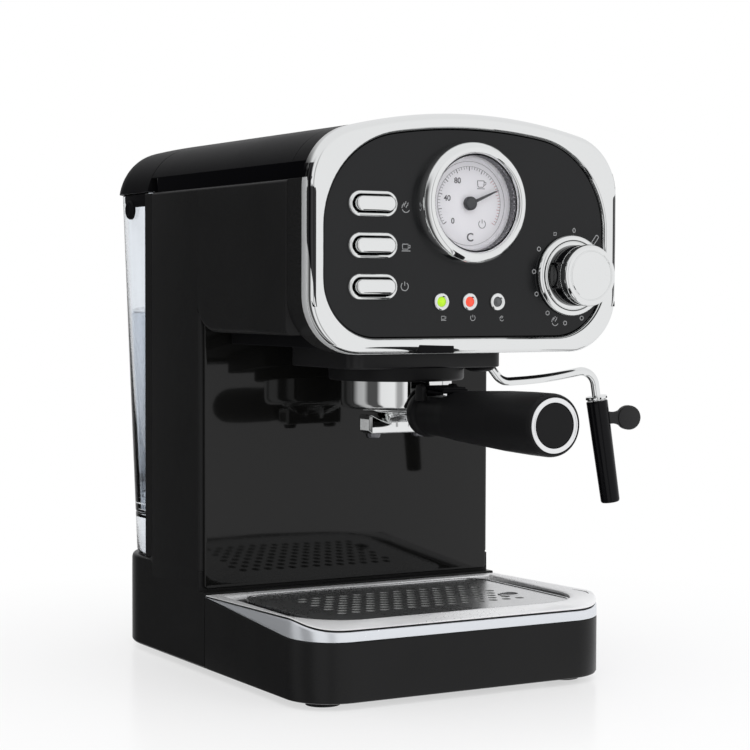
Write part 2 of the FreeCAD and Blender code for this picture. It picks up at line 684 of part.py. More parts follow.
def water_tank():
    tank = tank_loft(0, TANK_FOOT, TANK_TOP).cut(tank_loft(TANK_WALL, TANK_FOOT + 3, TANK_TOP + 0.01))
    tank = union([tank] + lid_hinge_lugs())
    for x in (-LID_ARM_X, LID_ARM_X):
        tank = tank.cut(box(x - 3.4, x + 3.4, LID_HINGE_Y - 5, TANK_REAR_TOP_Y + 2,
                            LID_HINGE_Z - 6, TANK_TOP + 1))
        tank = tank.cut(cyl_x(LID_HINGE_Y, LID_HINGE_Z, x - 6, x + 6, 1.5))
    tank = tank.cut(cyl_z(0, VALVE_Y, TANK_FOOT - 1, TANK_FOOT + 4, VALVE_RADIUS - 3))
    return tank


PEG_Y = COLUMN_REAR_Y + 19.0
PEG_DROP = 44.5


def hinge_pins():
    pins = []
    for x in (-LID_ARM_X, LID_ARM_X):
        pins.append(cyl_x(LID_HINGE_Y, LID_HINGE_Z, x - 6, x + 6, 1.5))
    return pins


def tank_pegs():
    """Round black knobs on the tank's flanks, one each side, joined to a strip under the lid."""
    pegs = []
    for side in (-1, 1):
        z = BODY_HEIGHT - PEG_DROP
        x = HALF - TANK_SIDE_TOP + 0.1
        start = x if side > 0 else -x - 2.4
        peg = cyl_x(PEG_Y, z, start, start + 2.4, 4.8)
        strip = box(start, start + 2.4, COLUMN_REAR_Y + 4.5, PEG_Y, z + 1.5, z + 7.5)
        pegs.append(union([peg, strip]))
    return pegs


def tank_valve():
    """Valve housing screwed through the tank's floor, with a bore for its poppet."""
    neck = cyl_z(0, VALVE_Y, TANK_FOOT - 12, TANK_FOOT + 5, VALVE_RADIUS - 3 - 0.1)
    flange = cyl_z(0, VALVE_Y, TANK_FOOT + 3, TANK_FOOT + 6, VALVE_RADIUS)
    nut = cyl_z(0, VALVE_Y, TANK_FOOT - 4, TANK_FOOT, VALVE_RADIUS)
    body = union([neck, flange, nut])
    body = body.cut(cyl_z(0, VALVE_Y, TANK_FOOT - 13, TANK_FOOT + 7, 3.0 + RUN))
    return body.cut(cyl_z(0, VALVE_Y, TANK_FOOT + 3.5, TANK_FOOT + 7, 6.0))


def valve_poppet():
    stem = cyl_z(0, VALVE_Y, TANK_FOOT - 13, TANK_FOOT + 4, 3.0)
    disc = cyl_z(0, VALVE_Y, TANK_FOOT + 3.6, TANK_FOOT + 5.6, 5.6)
    return union([stem, disc])


def tank_seat():
    """Socket in the base that the tank's valve stands in."""
    r = VALVE_RADIUS + 3
    cup = cyl_z(0, VALVE_Y, STEP_Z - 20, STEP_Z, r)
    flange = cyl_z(0, VALVE_Y, STEP_Z - WALL - 2, STEP_Z - WALL, r + 4)
    outlet = cyl_z(0, VALVE_Y, STEP_Z - 26, STEP_Z - 19, 4.0)
    seat = union([cup, flange, outlet])
    seat = seat.cut(cyl_z(0, VALVE_Y, STEP_Z - 17, STEP_Z + 1, r - 2))
    return seat.cut(cyl_z(0, VALVE_Y, STEP_Z - 27, STEP_Z - 16, 2.0))


# ---- front frame, bezel and control panel
def front_frame():
    y1 = HEAD_FRONT_Y - FIT
    ring = face_prism(BEZEL_REAR_Y, y1, 0.5).cut(face_prism(BEZEL_REAR_Y - 1, y1 + 1, 0.5 + FRAME_WALL))
    flange = face_prism(BEZEL_REAR_Y, BEZEL_REAR_Y + 2.5, 0.6)
    flange = flange.cut(opening_prism(BEZEL_REAR_Y - 1, BEZEL_REAR_Y + 3, 6))
    return union([ring, flange])


def front_bezel():
    steps = ((BEZEL_REAR_Y, 0), (FRONT_Y + 3.6, 0), (FRONT_Y + 1.2, 0.9), (FRONT_Y + 0.2, 2.4),
             (FRONT_Y, FACE_OFFSET))
    outer = Part.makeLoft([face_wire(y, inset) for y, inset in steps], True, True)
    bore = opening_prism(FRONT_Y - 1, BEZEL_REAR_Y + 1, 0)
    flare = Part.makeLoft([opening_wire(FRONT_Y - 0.01, -1.5), opening_wire(FRONT_Y + 1.8, 0.0)], True, True)
    bezel = outer.cut([bore, flare])
    return bezel.cut(bezel_tab_block(0.05))


TAB_LEFT_X = -32.0
TAB_RIGHT_X = -9.5


def bezel_tab_block(grow):
    top = CHIN_Z + 5.2 + grow
    low = CHIN_Z - 1 if grow else CHIN_Z
    a = TAB_LEFT_X - grow
    b = TAB_RIGHT_X + grow
    corners = [(a, low, 0), (b, low, 0), (b, top, 0), (a, top, 0)]
    return prism(corners, "xz", FRONT_Y - (1 if grow else 0), FRONT_Y + 5 + grow)


def bezel_tab():
    """Small black inlay in the bezel's lower edge."""
    return bezel_tab_block(0)


def button_places():
    return [BODY_HEIGHT - drop for drop in BUTTON_DROPS]


SWITCH_Y = -84.0
BOARD_Y = -71.0
POST_X_OUT = -75.5
POST_X_IN = -41.0
POST_DROPS = (58.5, 79.5)
LED_BOARD_Y = -88.0


def post_places():
    return [(x, BODY_HEIGHT - drop) for x in (POST_X_OUT, POST_X_IN) for drop in POST_DROPS]


def control_panel():
    plate = opening_prism(PANEL_Y, PANEL_Y + PANEL_THICKNESS, FIT)
    skirt = opening_prism(PANEL_Y, BEZEL_REAR_Y, FIT)
    skirt = skirt.cut(opening_prism(PANEL_Y - 1, BEZEL_REAR_Y + 1, FIT + 2.5))
    posts = [cyl_y(x, z, PANEL_Y + 1, BOARD_Y, 2.4) for x, z in post_places()]
    posts += [cyl_y(x, LED_Z, PANEL_Y + 1, LED_BOARD_Y, 1.8) for x in (LED_XS[0] - 7.5, LED_XS[2] + 7.5)]
    panel = union([plate, skirt] + posts)
    y0 = PANEL_Y - 1
    y1 = PANEL_Y + PANEL_THICKNESS + 1
    for z in button_places():
        panel = panel.cut(pill(BUTTON_X, z, BUTTON_LENGTH + 2 * FIT, BUTTON_HEIGHT + 2 * FIT, y0, y1))
    for x in LED_XS:
        panel = panel.cut(cyl_y(x, LED_Z, y0, y1, LED_RADIUS + 0.1))
    panel = panel.cut(cyl_y(0, GAUGE_Z, y0, y1, DIAL_RADIUS + 1 + FIT))
    return panel.cut(cyl_y(KNOB_X, KNOB_Z, y0, y1, 6))


def button_surrounds():
    rings = []
    for z in button_places():
        outer = pill(BUTTON_X, z, BUTTON_LENGTH + 2 * (BUTTON_RIM + FIT),
                     BUTTON_HEIGHT + 2 * (BUTTON_RIM + FIT),
                     PANEL_Y - 2.5, PANEL_Y)
        inner = pill(BUTTON_X, z, BUTTON_LENGTH + 2 * FIT, BUTTON_HEIGHT + 2 * FIT, PANEL_Y - 4, PANEL_Y + 1)
        rings.append(outer.cut(inner))
    return rings


def push_button(z):
    cap = pill(BUTTON_X, z, BUTTON_LENGTH, BUTTON_HEIGHT, PANEL_Y - 4.5, PANEL_Y + 5)
    front = [e for e in cap.Edges if e.BoundBox.YMax < PANEL_Y - 4.4]
    cap = cap.makeFillet(1.0, front)
    stem = cyl_y(BUTTON_X, z, PANEL_Y + 4, SWITCH_Y - BUTTON_TRAVEL - 0.1, 2.0)
    return union([cap, stem])


def switch_blocks():
    return [box(BUTTON_X - 10, BUTTON_X + 10, SWITCH_Y, BOARD_Y, z - 6, z + 6) for z in button_places()]


def circuit_boards():
    low = BODY_HEIGHT - BUTTON_DROPS[2] - 9
    high = BODY_HEIGHT - BUTTON_DROPS[0] + 9
    switch_board = box(POST_X_OUT - 3, POST_X_IN + 3, BOARD_Y, BOARD_Y + 1.6, low, high)
    led_board = box(LED_XS[0] - 10, LED_XS[2] + 10, LED_BOARD_Y, LED_BOARD_Y + 1.6, LED_Z - 6, LED_Z + 6)
    rear = COLUMN_REAR_Y - WALL
    power = box(15, HALF - 20, rear - 1.6, rear, 80, 170)
    relay = box(25, 45, rear - 16, rear - 1.6, 90, 112)
    capacitor = cyl_y(58, 135, rear - 22, rear - 1.6, 8)
    return [switch_board, led_board, union([power, relay, capacitor])]


def led_rings():
    rings = []
    for x in LED_XS:
        ring = cyl_y(x, LED_Z, PANEL_Y - 1.5, PANEL_Y, LED_RADIUS + 1.5)
        rings.append(ring.cut(cyl_y(x, LED_Z, PANEL_Y - 3, PANEL_Y + 1, LED_RADIUS + 0.1)))
    return rings


def led_lens(x):
    barrel = cyl_y(x, LED_Z, PANEL_Y - 0.6, LED_BOARD_Y, LED_RADIUS)
    dome = Part.makeSphere(LED_RADIUS + 0.9, V(x, PANEL_Y + 2.1, LED_Z))
    dome = dome.common(cyl_y(x, LED_Z, PANEL_Y - 4, PANEL_Y, LED_RADIUS))
    return union([barrel, dome])


# ---- thermometer
def gauge_bezel():
    """Chrome ring on the panel with the instrument's cup behind it."""
    centre = V(0, PANEL_Y, GAUGE_Z)
    r = GAUGE_RADIUS
    bore = DIAL_RADIUS + 1
    ring = turned([(bore, 0), (r, 0), (r, -3.5), (r - 1.0, -7.5), (r - 2.6, -10.0), (r - 3.6, -10.5),
                   (r - 4.6, -10.0), (bore, -8.0)], centre, "y")
    cup = cyl_y(0, GAUGE_Z, PANEL_Y, PANEL_Y + 18, bore)
    cup = cup.cut(cyl_y(0, GAUGE_Z, PANEL_Y - 1, PANEL_Y + 1.8, DIAL_RADIUS + 0.1))
    cup = cup.cut(cyl_y(0, GAUGE_Z, PANEL_Y - 1, PANEL_Y + 19, 1.5 + RUN))
    return union([ring, cup])


def gauge_dial():
    dial = cyl_y(0, GAUGE_Z, PANEL_Y + 1.0, PANEL_Y + 1.8, DIAL_RADIUS)
    return dial.cut(cyl_y(0, GAUGE_Z, PANEL_Y, PANEL_Y + 3, 2.0))


def gauge_needle():
    hub = cyl_y(0, GAUGE_Z, PANEL_Y - 2.5, PANEL_Y - 0.5, 3.5)
    shaft = cyl_y(0, GAUGE_Z, PANEL_Y - 1, PANEL_Y + 14, 1.5)
    corners = [(-1.3, -6.0, 0), (1.3, -6.0, 0), (0.35, 20.0, 0), (-0.35, 20.0, 0)]
    pointer = prism(corners, "xz", PANEL_Y - 1.9, PANEL_Y - 1.1)
    pointer.rotate(V(0, 0, 0), V(0, 1, 0), NEEDLE_ANGLE)
    pointer.translate(V(0, 0, GAUGE_Z))
    return union([hub, shaft, pointer])


def gauge_glass():
    return cyl_y(0, GAUGE_Z, PANEL_Y - 7.0, PANEL_Y - 5.6, DIAL_RADIUS + 0.9)


# ---- steam knob and valve
def knob_ring():
    r = KNOB_RING_RADIUS
    centre = V(KNOB_X, PANEL_Y, KNOB_Z)
    profile = [(r - 5, 0), (r, 0), (r, -1.5), (r - 1.2, -3.4), (r - 2.6, -3.4), (r - 5, -1.0)]
    return turned(profile, centre, "y")


def knob_grip():
    """Black knob with a finger scallop each side and a bore for the valve spindle."""
    centre = V(KNOB_X, PANEL_Y, KNOB_Z)
    r = KNOB_RADIUS
    grip = turned([(0, -2.0), (r - 2.6, -2.0), (r, -4.6), (r, -6), (r - 1.5, -13), (0, -13)], centre, "y")
    for side in (-1, 1):
        scallop = cyl_y(KNOB_X + side * (r + 9), KNOB_Z, PANEL_Y - 14, PANEL_Y - 4.5, 13)
        grip = grip.cut(scallop)
    return grip.cut(cyl_y(KNOB_X, KNOB_Z, PANEL_Y - 11, PANEL_Y, SPINDLE_RADIUS + 0.02))


def knob_cap():
    centre = V(KNOB_X, PANEL_Y, KNOB_Z)
    r = KNOB_CAP_RADIUS
    end = -KNOB_LENGTH
    return turned([(0, -13), (r - 3, -13), (r - 1, -14.2), (r, end + 3.4), (r - 0.4, end + 1.0),
                   (r - 1.6, end),
                   (r - 3.0, end + 0.7), (0, end + 0.7)], centre, "y")


def valve_spindle():
    shaft = cyl_y(KNOB_X, KNOB_Z, PANEL_Y - 11, PANEL_Y + 27, SPINDLE_RADIUS)
    tip = Part.makeCone(SPINDLE_RADIUS, 1.0, 5, V(KNOB_X, PANEL_Y + 27, KNOB_Z), V(0, 1, 0))
    return union([shaft, tip])


def steam_valve():
    """Brass valve body hung from the panel, with the spindle's bore and a steam passage."""
    y0 = PANEL_Y + PANEL_THICKNESS
    body = cyl_y(KNOB_X, KNOB_Z, y0, PANEL_Y + 45, 8)
    body = union([body, cyl_y(KNOB_X, KNOB_Z, y0, y0 + 3, 11)])
    body = body.cut(cyl_y(KNOB_X, KNOB_Z, y0 - 1, PANEL_Y + 33, SPINDLE_RADIUS + RUN))
    return body.cut(cyl_y(KNOB_X, KNOB_Z, PANEL_Y + 30, PANEL_Y + 43, 1.5))


# ---- brewing group
SOCKET_RADIUS = 8.0
BALL_RADIUS = 5.5
BALL_Z = COLLAR_Z + 9.0


def group_collar():
    """Black housing under the head: a wide floor with the collar block below it."""
    floor = rounded_box(-HALF + 17, HALF - 17, HEAD_FRONT_Y + 3, COLUMN_FRONT_Y - SPLASH_THICKNESS - 1,
                        COLLAR_Z + 12, HEAD_FLOOR - FIT, 10, 2)
    block = rounded_box(-COLLAR_HALF, COLLAR_HALF, COLLAR_FRONT_Y, GROUP_Y + 38,
                        COLLAR_Z, COLLAR_Z + 13, 8, 8)
    collar = union([floor, block])
    collar = collar.cut(cyl_z(0, GROUP_Y, COLLAR_Z - 1, HEAD_FLOOR + 1, BOWL_RADIUS + FIT))
    return collar.cut(cyl_z(WAND_X, WAND_Y, COLLAR_Z - 1, HEAD_FLOOR + 1, SOCKET_RADIUS + 0.1))


def ring_sector(r0, r1, z0, z1, start, sweep):
    """Part of a flat ring about the group's axis, from start through sweep degrees."""
    ring = Part.makeCylinder(r1, z1 - z0, V(0, 0, z0), V(0, 0, 1), sweep)
    ring = ring.cut(Part.makeCylinder(r0, z1 - z0 + 2, V(0, 0, z0 - 1), V(0, 0, 1), 360))
    ring.rotate(V(0, 0, 0), V(0, 0, 1), start)
    return ring.translated(V(0, GROUP_Y, 0))


EAR_SWEEP = 40.0
LUG_SWEEP = 130.0


def bayonet_ring():
    """Ring under the collar whose lugs carry the portafilter's ears."""
    ring = cyl_z(0, GROUP_Y, RING_Z, COLLAR_Z, RING_RADIUS).cut(
        cyl_z(0, GROUP_Y, RING_Z - 1, COLLAR_Z + 1, RING_BORE))
    lugs = [ring_sector(LUG_BORE, RING_BORE + 1, RING_Z, RING_Z + 1.8, side - LUG_SWEEP / 2 + 20, LUG_SWEEP)
            for side in (0, 180)]
    return union([ring] + lugs)


def boiler():
    """Aluminium boiler in the head with the group's neck and the boss that holds the screen."""
    top = HEAD_FLOOR + WALL + 40
    body = cyl_z(0, GROUP_Y, HEAD_FLOOR + WALL, top, BOWL_RADIUS + 4)
    neck = cyl_z(0, GROUP_Y, COLLAR_Z + 1.5, HEAD_FLOOR + WALL + 1, BOWL_RADIUS)
    boss = cyl_z(0, GROUP_Y, COLLAR_Z - 4, COLLAR_Z + 2, BOWL_RADIUS - 4.5)
    solid = union([body, neck, boss])
    chamber = cyl_z(0, GROUP_Y, COLLAR_Z + 8, top - 4, BOWL_RADIUS - 6)
    water_way = cyl_z(12, GROUP_Y, COLLAR_Z - 5, COLLAR_Z + 9, 1.5)
    screw_bore = cyl_z(0, GROUP_Y, COLLAR_Z - 5, COLLAR_Z + 3, 1.95)
    return solid.cut([chamber, water_way, screw_bore])


def group_gasket():
    z0 = BOWL_TOP + 0.9
    return cyl_z(0, GROUP_Y, z0, COLLAR_Z + 1.5, BOWL_RADIUS - 0.2).cut(
        cyl_z(0, GROUP_Y, z0 - 1, COLLAR_Z + 3, BOWL_RADIUS - 4.2))


def shower_screen():
    z1 = COLLAR_Z - 4
    disc = cyl_z(0, GROUP_Y, z1 - 1.5, z1, BOWL_RADIUS - 5)
    holes = [cyl_z(0, GROUP_Y, z1 - 3, z1 + 1, 2.1)]
    for ring, count in ((9.0, 8), (15.0, 14), (21.0, 20)):
        for i in range(count):
            a = 2 * math.pi * i / count
            holes.append(cyl_z(ring * math.cos(a), GROUP_Y + ring * math.sin(a), z1 - 3, z1 + 1, 0.8))
    return disc.cut(Part.makeCompound(holes))


def thermostats():
    z = HEAD_FLOOR + WALL + 40
    return [cyl_z(x, GROUP_Y - 6, z, z + 6, 7.5) for x in (-13, 13)]


# ---- portafilter
def portafilter_bowl():
    """Chrome bowl with two ears, a drain stub, and the lug and stud that carry the handle."""
    centre = V(0, GROUP_Y, 0)
    r = BOWL_RADIUS
    inner = r - BOWL_WALL
    profile = [(0, BOWL_FLOOR - 6), (8, BOWL_FLOOR - 6), (8, BOWL_FLOOR - 3.4), (13, BOWL_FLOOR - 3.0),
               (r - 3.2, BOWL_FLOOR), (r, BOWL_FLOOR + 2.6), (r, BOWL_TOP), (inner, BOWL_TOP),
               (inner, BOWL_FLOOR + 3.4), (inner - 2.5, BOWL_FLOOR + 1.6), (3.5, BOWL_FLOOR - 0.4),
               (3.5, BOWL_FLOOR - 1.2), (0, BOWL_FLOOR - 1.2)]
    bowl = turned(profile, centre, "z")
    bowl = bowl.cut(cyl_z(0, GROUP_Y, BOWL_FLOOR - 7, BOWL_FLOOR, 3.5))
    ears = [ring_sector(r - 0.8, RING_BORE - 0.35, RING_Z + 2.2, BOWL_TOP, side - EAR_SWEEP / 2, EAR_SWEEP)
            for side in (20, 200)]
    front = GROUP_Y - r
    upper = box(-6.5, 6.5, front - 8, front + 0.9, BOWL_FLOOR + 3, BOWL_FLOOR + 10)
    lower = box(-6.5, 6.5, front - 18, front - 1, HANDLE_Z - 6, BOWL_FLOOR + 10)
    stud = cyl_y(0, HANDLE_Z, HANDLE_START_Y - 80, front - 10, 3.0)
    return union([bowl] + ears + [upper, lower, stud])


def filter_basket():
    centre = V(0, GROUP_Y, 0)
    outer = BOWL_RADIUS - BOWL_WALL - 0.5
    inner = outer - BASKET_WALL
    floor = BOWL_FLOOR + 3.9
    rim = BOWL_RADIUS - 0.3
    profile = [(0, floor), (outer - 1.5, floor), (outer, floor + 1.5), (outer, BOWL_TOP), (rim, BOWL_TOP),
               (rim, BOWL_TOP + 0.8), (inner, BOWL_TOP + 0.8), (inner, floor + 2.0),
               (inner - 1.2, floor + BASKET_WALL), (0, floor + BASKET_WALL)]
    return turned(profile, centre, "z")


def twin_spout():
    """Bar under the bowl that splits the coffee to two outlets."""
    top = BOWL_FLOOR - 3.6
    wide = SPOUT_HALF
    bar = rounded_box(-wide, wide, GROUP_Y - 9, GROUP_Y + 9, SPOUT_Z, SPOUT_Z + 6, 8.5, 8.5)
    waist = Part.makeLoft([
        rounded_wire([(-wide, GROUP_Y - 9, 8.5), (wide, GROUP_Y - 9, 8.5), (wide, GROUP_Y + 9, 8.5),
                      (-wide, GROUP_Y + 9, 8.5)], "xy", SPOUT_Z + 6),
        rounded_wire([(-12, GROUP_Y - 11, 8.5), (12, GROUP_Y - 11, 8.5), (12, GROUP_Y + 11, 8.5),
                      (-12, GROUP_Y + 11, 8.5)], "xy", top)], True, True)
    nozzles = [cyl_z(side * SPOUT_PITCH / 2, GROUP_Y, SPOUT_Z - 3.5, SPOUT_Z + 1, 3.8) for side in (-1, 1)]
    spout = union([bar, waist] + nozzles)
    spout = spout.cut(cyl_z(0, GROUP_Y, BOWL_FLOOR - 6.2, top + 1, 8.1))
    spout = spout.cut(cyl_z(0, GROUP_Y, SPOUT_Z + 4, top + 1, 3.0))
    spout = spout.cut(cyl_x(GROUP_Y, SPOUT_Z + 4, -SPOUT_PITCH / 2, SPOUT_PITCH / 2, 2.4))
    for side in (-1, 1):
        spout = spout.cut(cyl_z(side * SPOUT_PITCH / 2, GROUP_Y, SPOUT_Z - 5, SPOUT_Z + 4, 2.0))
    return spout


CLIP_Y = HANDLE_START_Y - 8.0
CLIP_Z = HANDLE_Z + 14.6


def handle_grip():
    """Black grip that swells towards its end, with a collar at the bowl and ears for the clip's pivot."""
    centre = V(0, 0, HANDLE_Z)
    neck = HANDLE_NECK_RADIUS
    end = HANDLE_END_RADIUS
    y0 = HANDLE_START_Y
    y1 = HANDLE_END_Y
    profile = [(0, y0), (12.0, y0), (13.0, y0 - 1.2), (13.0, y0 - 3.0), (neck, y0 - 4.2),
               (neck + 0.2, y0 - 14), (end - 0.6, y1 + 40), (end, y1 + 18), (end, y1 + 2.2),
               (end - 0.6, y1 + 0.6), (14.2, y1), (14.2, y1 + 4), (0, y1 + 4)]
    grip = turned(profile, centre, "y")
    ears = [box(x - 1.2, x + 1.2, CLIP_Y - 3, CLIP_Y + 3, HANDLE_Z + 6, CLIP_Z + 2.6) for x in (-9.8, 9.8)]
    grip = union([grip] + ears)
    front = GROUP_Y - BOWL_RADIUS
    grip = grip.cut(box(-6.7, 6.7, front - 18.2, y0 + 1, HANDLE_Z - 6.2, BOWL_FLOOR + 10.2))
    grip = grip.cut(cyl_y(0, HANDLE_Z, y0 - 80.2, y0 + 1, 3.05))
    return grip.cut(cyl_x(CLIP_Y, CLIP_Z, -12, 12, 1.5 + RUN))


def handle_end_ring():
    y = HANDLE_END_Y
    ring = cyl_y(0, HANDLE_Z, y + 0.1, y + 4, 13.9)
    return ring.cut(cyl_y(0, HANDLE_Z, y - 1, y + 5, 10.9))


def handle_end_cap():
    y = HANDLE_END_Y
    centre = V(0, y, HANDLE_Z)
    return turned([(0, 4), (10.8, 4), (10.8, 1.4), (9.8, 0.9), (0, 0.6)], centre, "y")


def basket_clip():
    """Thumb clip that swings over the basket's rim, on trunnions in the handle's ears."""
    barrel = cyl_x(CLIP_Y, CLIP_Z, -8.2, 8.2, 2.3)
    pin = cyl_x(CLIP_Y, CLIP_Z, -11.0, 11.0, 1.5)
    pad = box(-8.0, 8.0, CLIP_Y - 21, CLIP_Y, CLIP_Z - 1.2, CLIP_Z + 1.4)
    ribs = [box(-7, 7, CLIP_Y - 20.5 + 3.2 * i, CLIP_Y - 19.1 + 3.2 * i, CLIP_Z + 1.2, CLIP_Z + 2.6)
            for i in range(4)]
    return union([barrel, pin, pad] + ribs)


# ---- steam wand
def wand_point(s, z):
    return V(WAND_X + s * WAND_COS, WAND_Y + s * WAND_SIN, z)


def sleeve_axis():
    axis = wand_point(wand_s(SLEEVE_END_Z), SLEEVE_END_Z) - wand_point(wand_s(SLEEVE_TOP_Z), SLEEVE_TOP_Z)
    return axis


def wand_socket():
    """Brass nut in the collar with a round seat for the wand's ball."""
    nut = cyl_z(WAND_X, WAND_Y, COLLAR_Z + 1, COLLAR_Z + 17, SOCKET_RADIUS)
    nut = nut.cut(Part.makeSphere(BALL_RADIUS + RUN, V(WAND_X, WAND_Y, BALL_Z)))
    nut = nut.cut(cyl_z(WAND_X, WAND_Y, COLLAR_Z, BALL_Z, WAND_TUBE_RADIUS + 0.8))
    return nut.cut(cyl_z(WAND_X, WAND_Y, BALL_Z, COLLAR_Z + 18, 1.6))


def steam_wand_tube():
    top = wand_s(SLEEVE_TOP_Z)
    end = wand_s(SLEEVE_END_Z)
    z_end = SLEEVE_END_Z + 4
    points = [wand_point(0, BALL_Z + 1), wand_point(0, WAND_DIP_Z), wand_point(WAND_REACH, WAND_CREST_Z),
              wand_point(wand_s(z_end), z_end)]
    tube = bent_rod(points, WAND_TUBE_RADIUS, 8.5)
    ball = Part.makeSphere(BALL_RADIUS, V(WAND_X, WAND_Y, BALL_Z))
    axis = wand_point(end, SLEEVE_END_Z) - wand_point(top, SLEEVE_TOP_Z)
    axis.normalize()
    collar = Part.makeCylinder(6.1, 2.6, wand_point(top, SLEEVE_TOP_Z) - axis * 2.7, axis)
    return union([tube, ball, collar])


def frother_sleeve():
    """Black frothing sleeve with its round finger tab, bored for the wand."""
    top = wand_point(wand_s(SLEEVE_TOP_Z), SLEEVE_TOP_Z)
    axis = sleeve_axis()
    length = axis.Length
    axis.normalize()
    body = Part.makeCone(SLEEVE_TOP_RADIUS, SLEEVE_END_RADIUS, length, top, axis)
    normal = V(-WAND_SIN, WAND_COS, 0)
    middle = wand_point(wand_s(TAB_Z) + TAB_REACH, TAB_Z)
    disc = Part.makeCylinder(TAB_RADIUS, 5.0, middle - normal * 2.5, normal)
    root = wand_point(wand_s(TAB_Z) + 2, TAB_Z)
    corners = [root + V(0, 0, 4.6), root - V(0, 0, 4.6), middle - V(0, 0, TAB_RADIUS - 0.4),
               middle + V(0, 0, TAB_RADIUS - 0.4)]
    web = Part.Face(Part.makePolygon([c - normal * 1.8 for c in corners + corners[:1]])).extrude(normal * 3.6)
    sleeve = union([body, disc, web])
    bore = Part.makeCylinder(WAND_TUBE_RADIUS + RUN, length - 3, top - axis, axis)
    outlet = Part.makeCylinder(1.5, length + 2, top - axis, axis)
    return sleeve.cut([bore, outlet])


# ---- pump and pipes in the column
PUMP_X = -40.0
PUMP_Y = 66.0
PUMP_Z = 60.0


def pump_body():
    """Pump tube in its square coil."""
    tube = cyl_z(PUMP_X, PUMP_Y, PUMP_Z - 25, PUMP_Z + 80, 9)
    coil = box(PUMP_X - 20, PUMP_X + 20, PUMP_Y - 20, PUMP_Y + 20, PUMP_Z, PUMP_Z + 46)
    body = union([tube, coil])
    return body.cut(cyl_z(PUMP_X, PUMP_Y, PUMP_Z - 5, PUMP_Z + 60, 5 + RUN))


def pump_piston():
    return cyl_z(PUMP_X, PUMP_Y, PUMP_Z, PUMP_Z + 45, 5)


def pump_bracket():
    y = PUMP_Y - 22
    foot = box(PUMP_X - 22, PUMP_X + 22, y, y + 28, PLATE_TOP, PLATE_TOP + 2)
    wall = box(PUMP_X - 22, PUMP_X + 22, y, y + 2, PLATE_TOP, PUMP_Z + 46)
    return union([foot, wall])


def inner_pipes():
    """Suction hose, pressure hose, steam pipe to the valve, and steam pipe to the wand."""
    seat = STEP_Z - 26
    suction = bent_rod([V(0, VALVE_Y, seat), V(0, VALVE_Y, seat - 12), V(PUMP_X, PUMP_Y - 0.01, seat - 12),
                        V(PUMP_X, PUMP_Y, PUMP_Z - 25)], 3.0, 6)
    rise = HEAD_FLOOR + WALL + 60
    pump_top = PUMP_Z + 80
    boiler_top = HEAD_FLOOR + WALL + 40
    pressure = bent_rod([V(PUMP_X, PUMP_Y, pump_top), V(PUMP_X, PUMP_Y, rise), V(0, GROUP_Y + 22, rise),
                         V(0, GROUP_Y + 22, boiler_top)], 3.0, 8)
    valve_rear = PANEL_Y + 45
    steam = bent_rod([V(BOWL_RADIUS + 4, GROUP_Y, KNOB_Z), V(KNOB_X, GROUP_Y, KNOB_Z),
                      V(KNOB_X, valve_rear, KNOB_Z)], 2.0, 7)
    low = COLLAR_Z + 17
    side = bent_rod([V(WAND_X, WAND_Y, low), V(WAND_X, WAND_Y, KNOB_Z - 18),
                     V(KNOB_X, WAND_Y - 12, KNOB_Z - 18),
                     V(KNOB_X, WAND_Y - 12, KNOB_Z - 8)], 2.0, 4)
    return [suction, pressure, steam, side]


def write_parts():
    os.makedirs("parts", exist_ok=True)
    save("rubber_feet", rubber_feet())
    save("base_plate", base_plate())
    save("chassis_screws", chassis_screws())
    save("body_shell", body_shell())
    save("splash_panel", splash_panel())
    save("cord_gland", cord_gland())
    save("tray_housing", tray_housing())
    save("tray_trim_band", tray_trim_band())
    save("tray_rim", tray_rim())
    save("drip_grid", drip_grid())
    save("top_cover", top_cover())
    save("tank_lid", tank_lid())
    save("water_tank", water_tank())
    save("tank_pins", hinge_pins() + tank_pegs())
    save("tank_valve", tank_valve())
    save("valve_poppet", valve_poppet())
    save("tank_seat", tank_seat())
    save("front_frame", front_frame())
    save("front_bezel", front_bezel())
    save("bezel_tab", bezel_tab())
    save("control_panel", control_panel())
    save("button_surrounds", button_surrounds())
    for name, z in zip(("steam_button", "brew_button", "power_button"), button_places()):
        save(name, push_button(z))
    save("switch_blocks", switch_blocks())
    save("circuit_boards", circuit_boards())
    save("led_rings", led_rings())
    for name, x in zip(("led_ready", "led_power", "led_steam"), LED_XS):
        save(name, led_lens(x))
    save("gauge_bezel", gauge_bezel())
    save("gauge_dial", gauge_dial())
    save("gauge_needle", gauge_needle())
    save("gauge_glass", gauge_glass())
    save("knob_ring", knob_ring())
    save("knob_grip", knob_grip())
    save("knob_cap", knob_cap())
    save("valve_spindle", valve_spindle())
    save("steam_valve", steam_valve())
    save("group_collar", group_collar())
    save("bayonet_ring", bayonet_ring())
    save("boiler", boiler())
    save("group_gasket", group_gasket())
    save("shower_screen", shower_screen())
    save("thermostats", thermostats())
    save("portafilter_bowl", portafilter_bowl())
    save("filter_basket", filter_basket())
    save("twin_spout", twin_spout())
    save("handle_grip", handle_grip())
    save("handle_end_ring", handle_end_ring())
    save("handle_end_cap", handle_end_cap())
    save("basket_clip", basket_clip())
    save("wand_socket", wand_socket())
    save("steam_wand_tube", steam_wand_tube())
    save("frother_sleeve", frother_sleeve())
    save("pump_body", pump_body())
    save("pump_piston", pump_piston())
    save("pump_bracket", pump_bracket())
    save("inner_pipes", inner_pipes())


write_parts()
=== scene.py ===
import json
import math

import bmesh
import bpy
from mathutils import Matrix, Vector
from mathutils.geometry import delaunay_2d_cdt


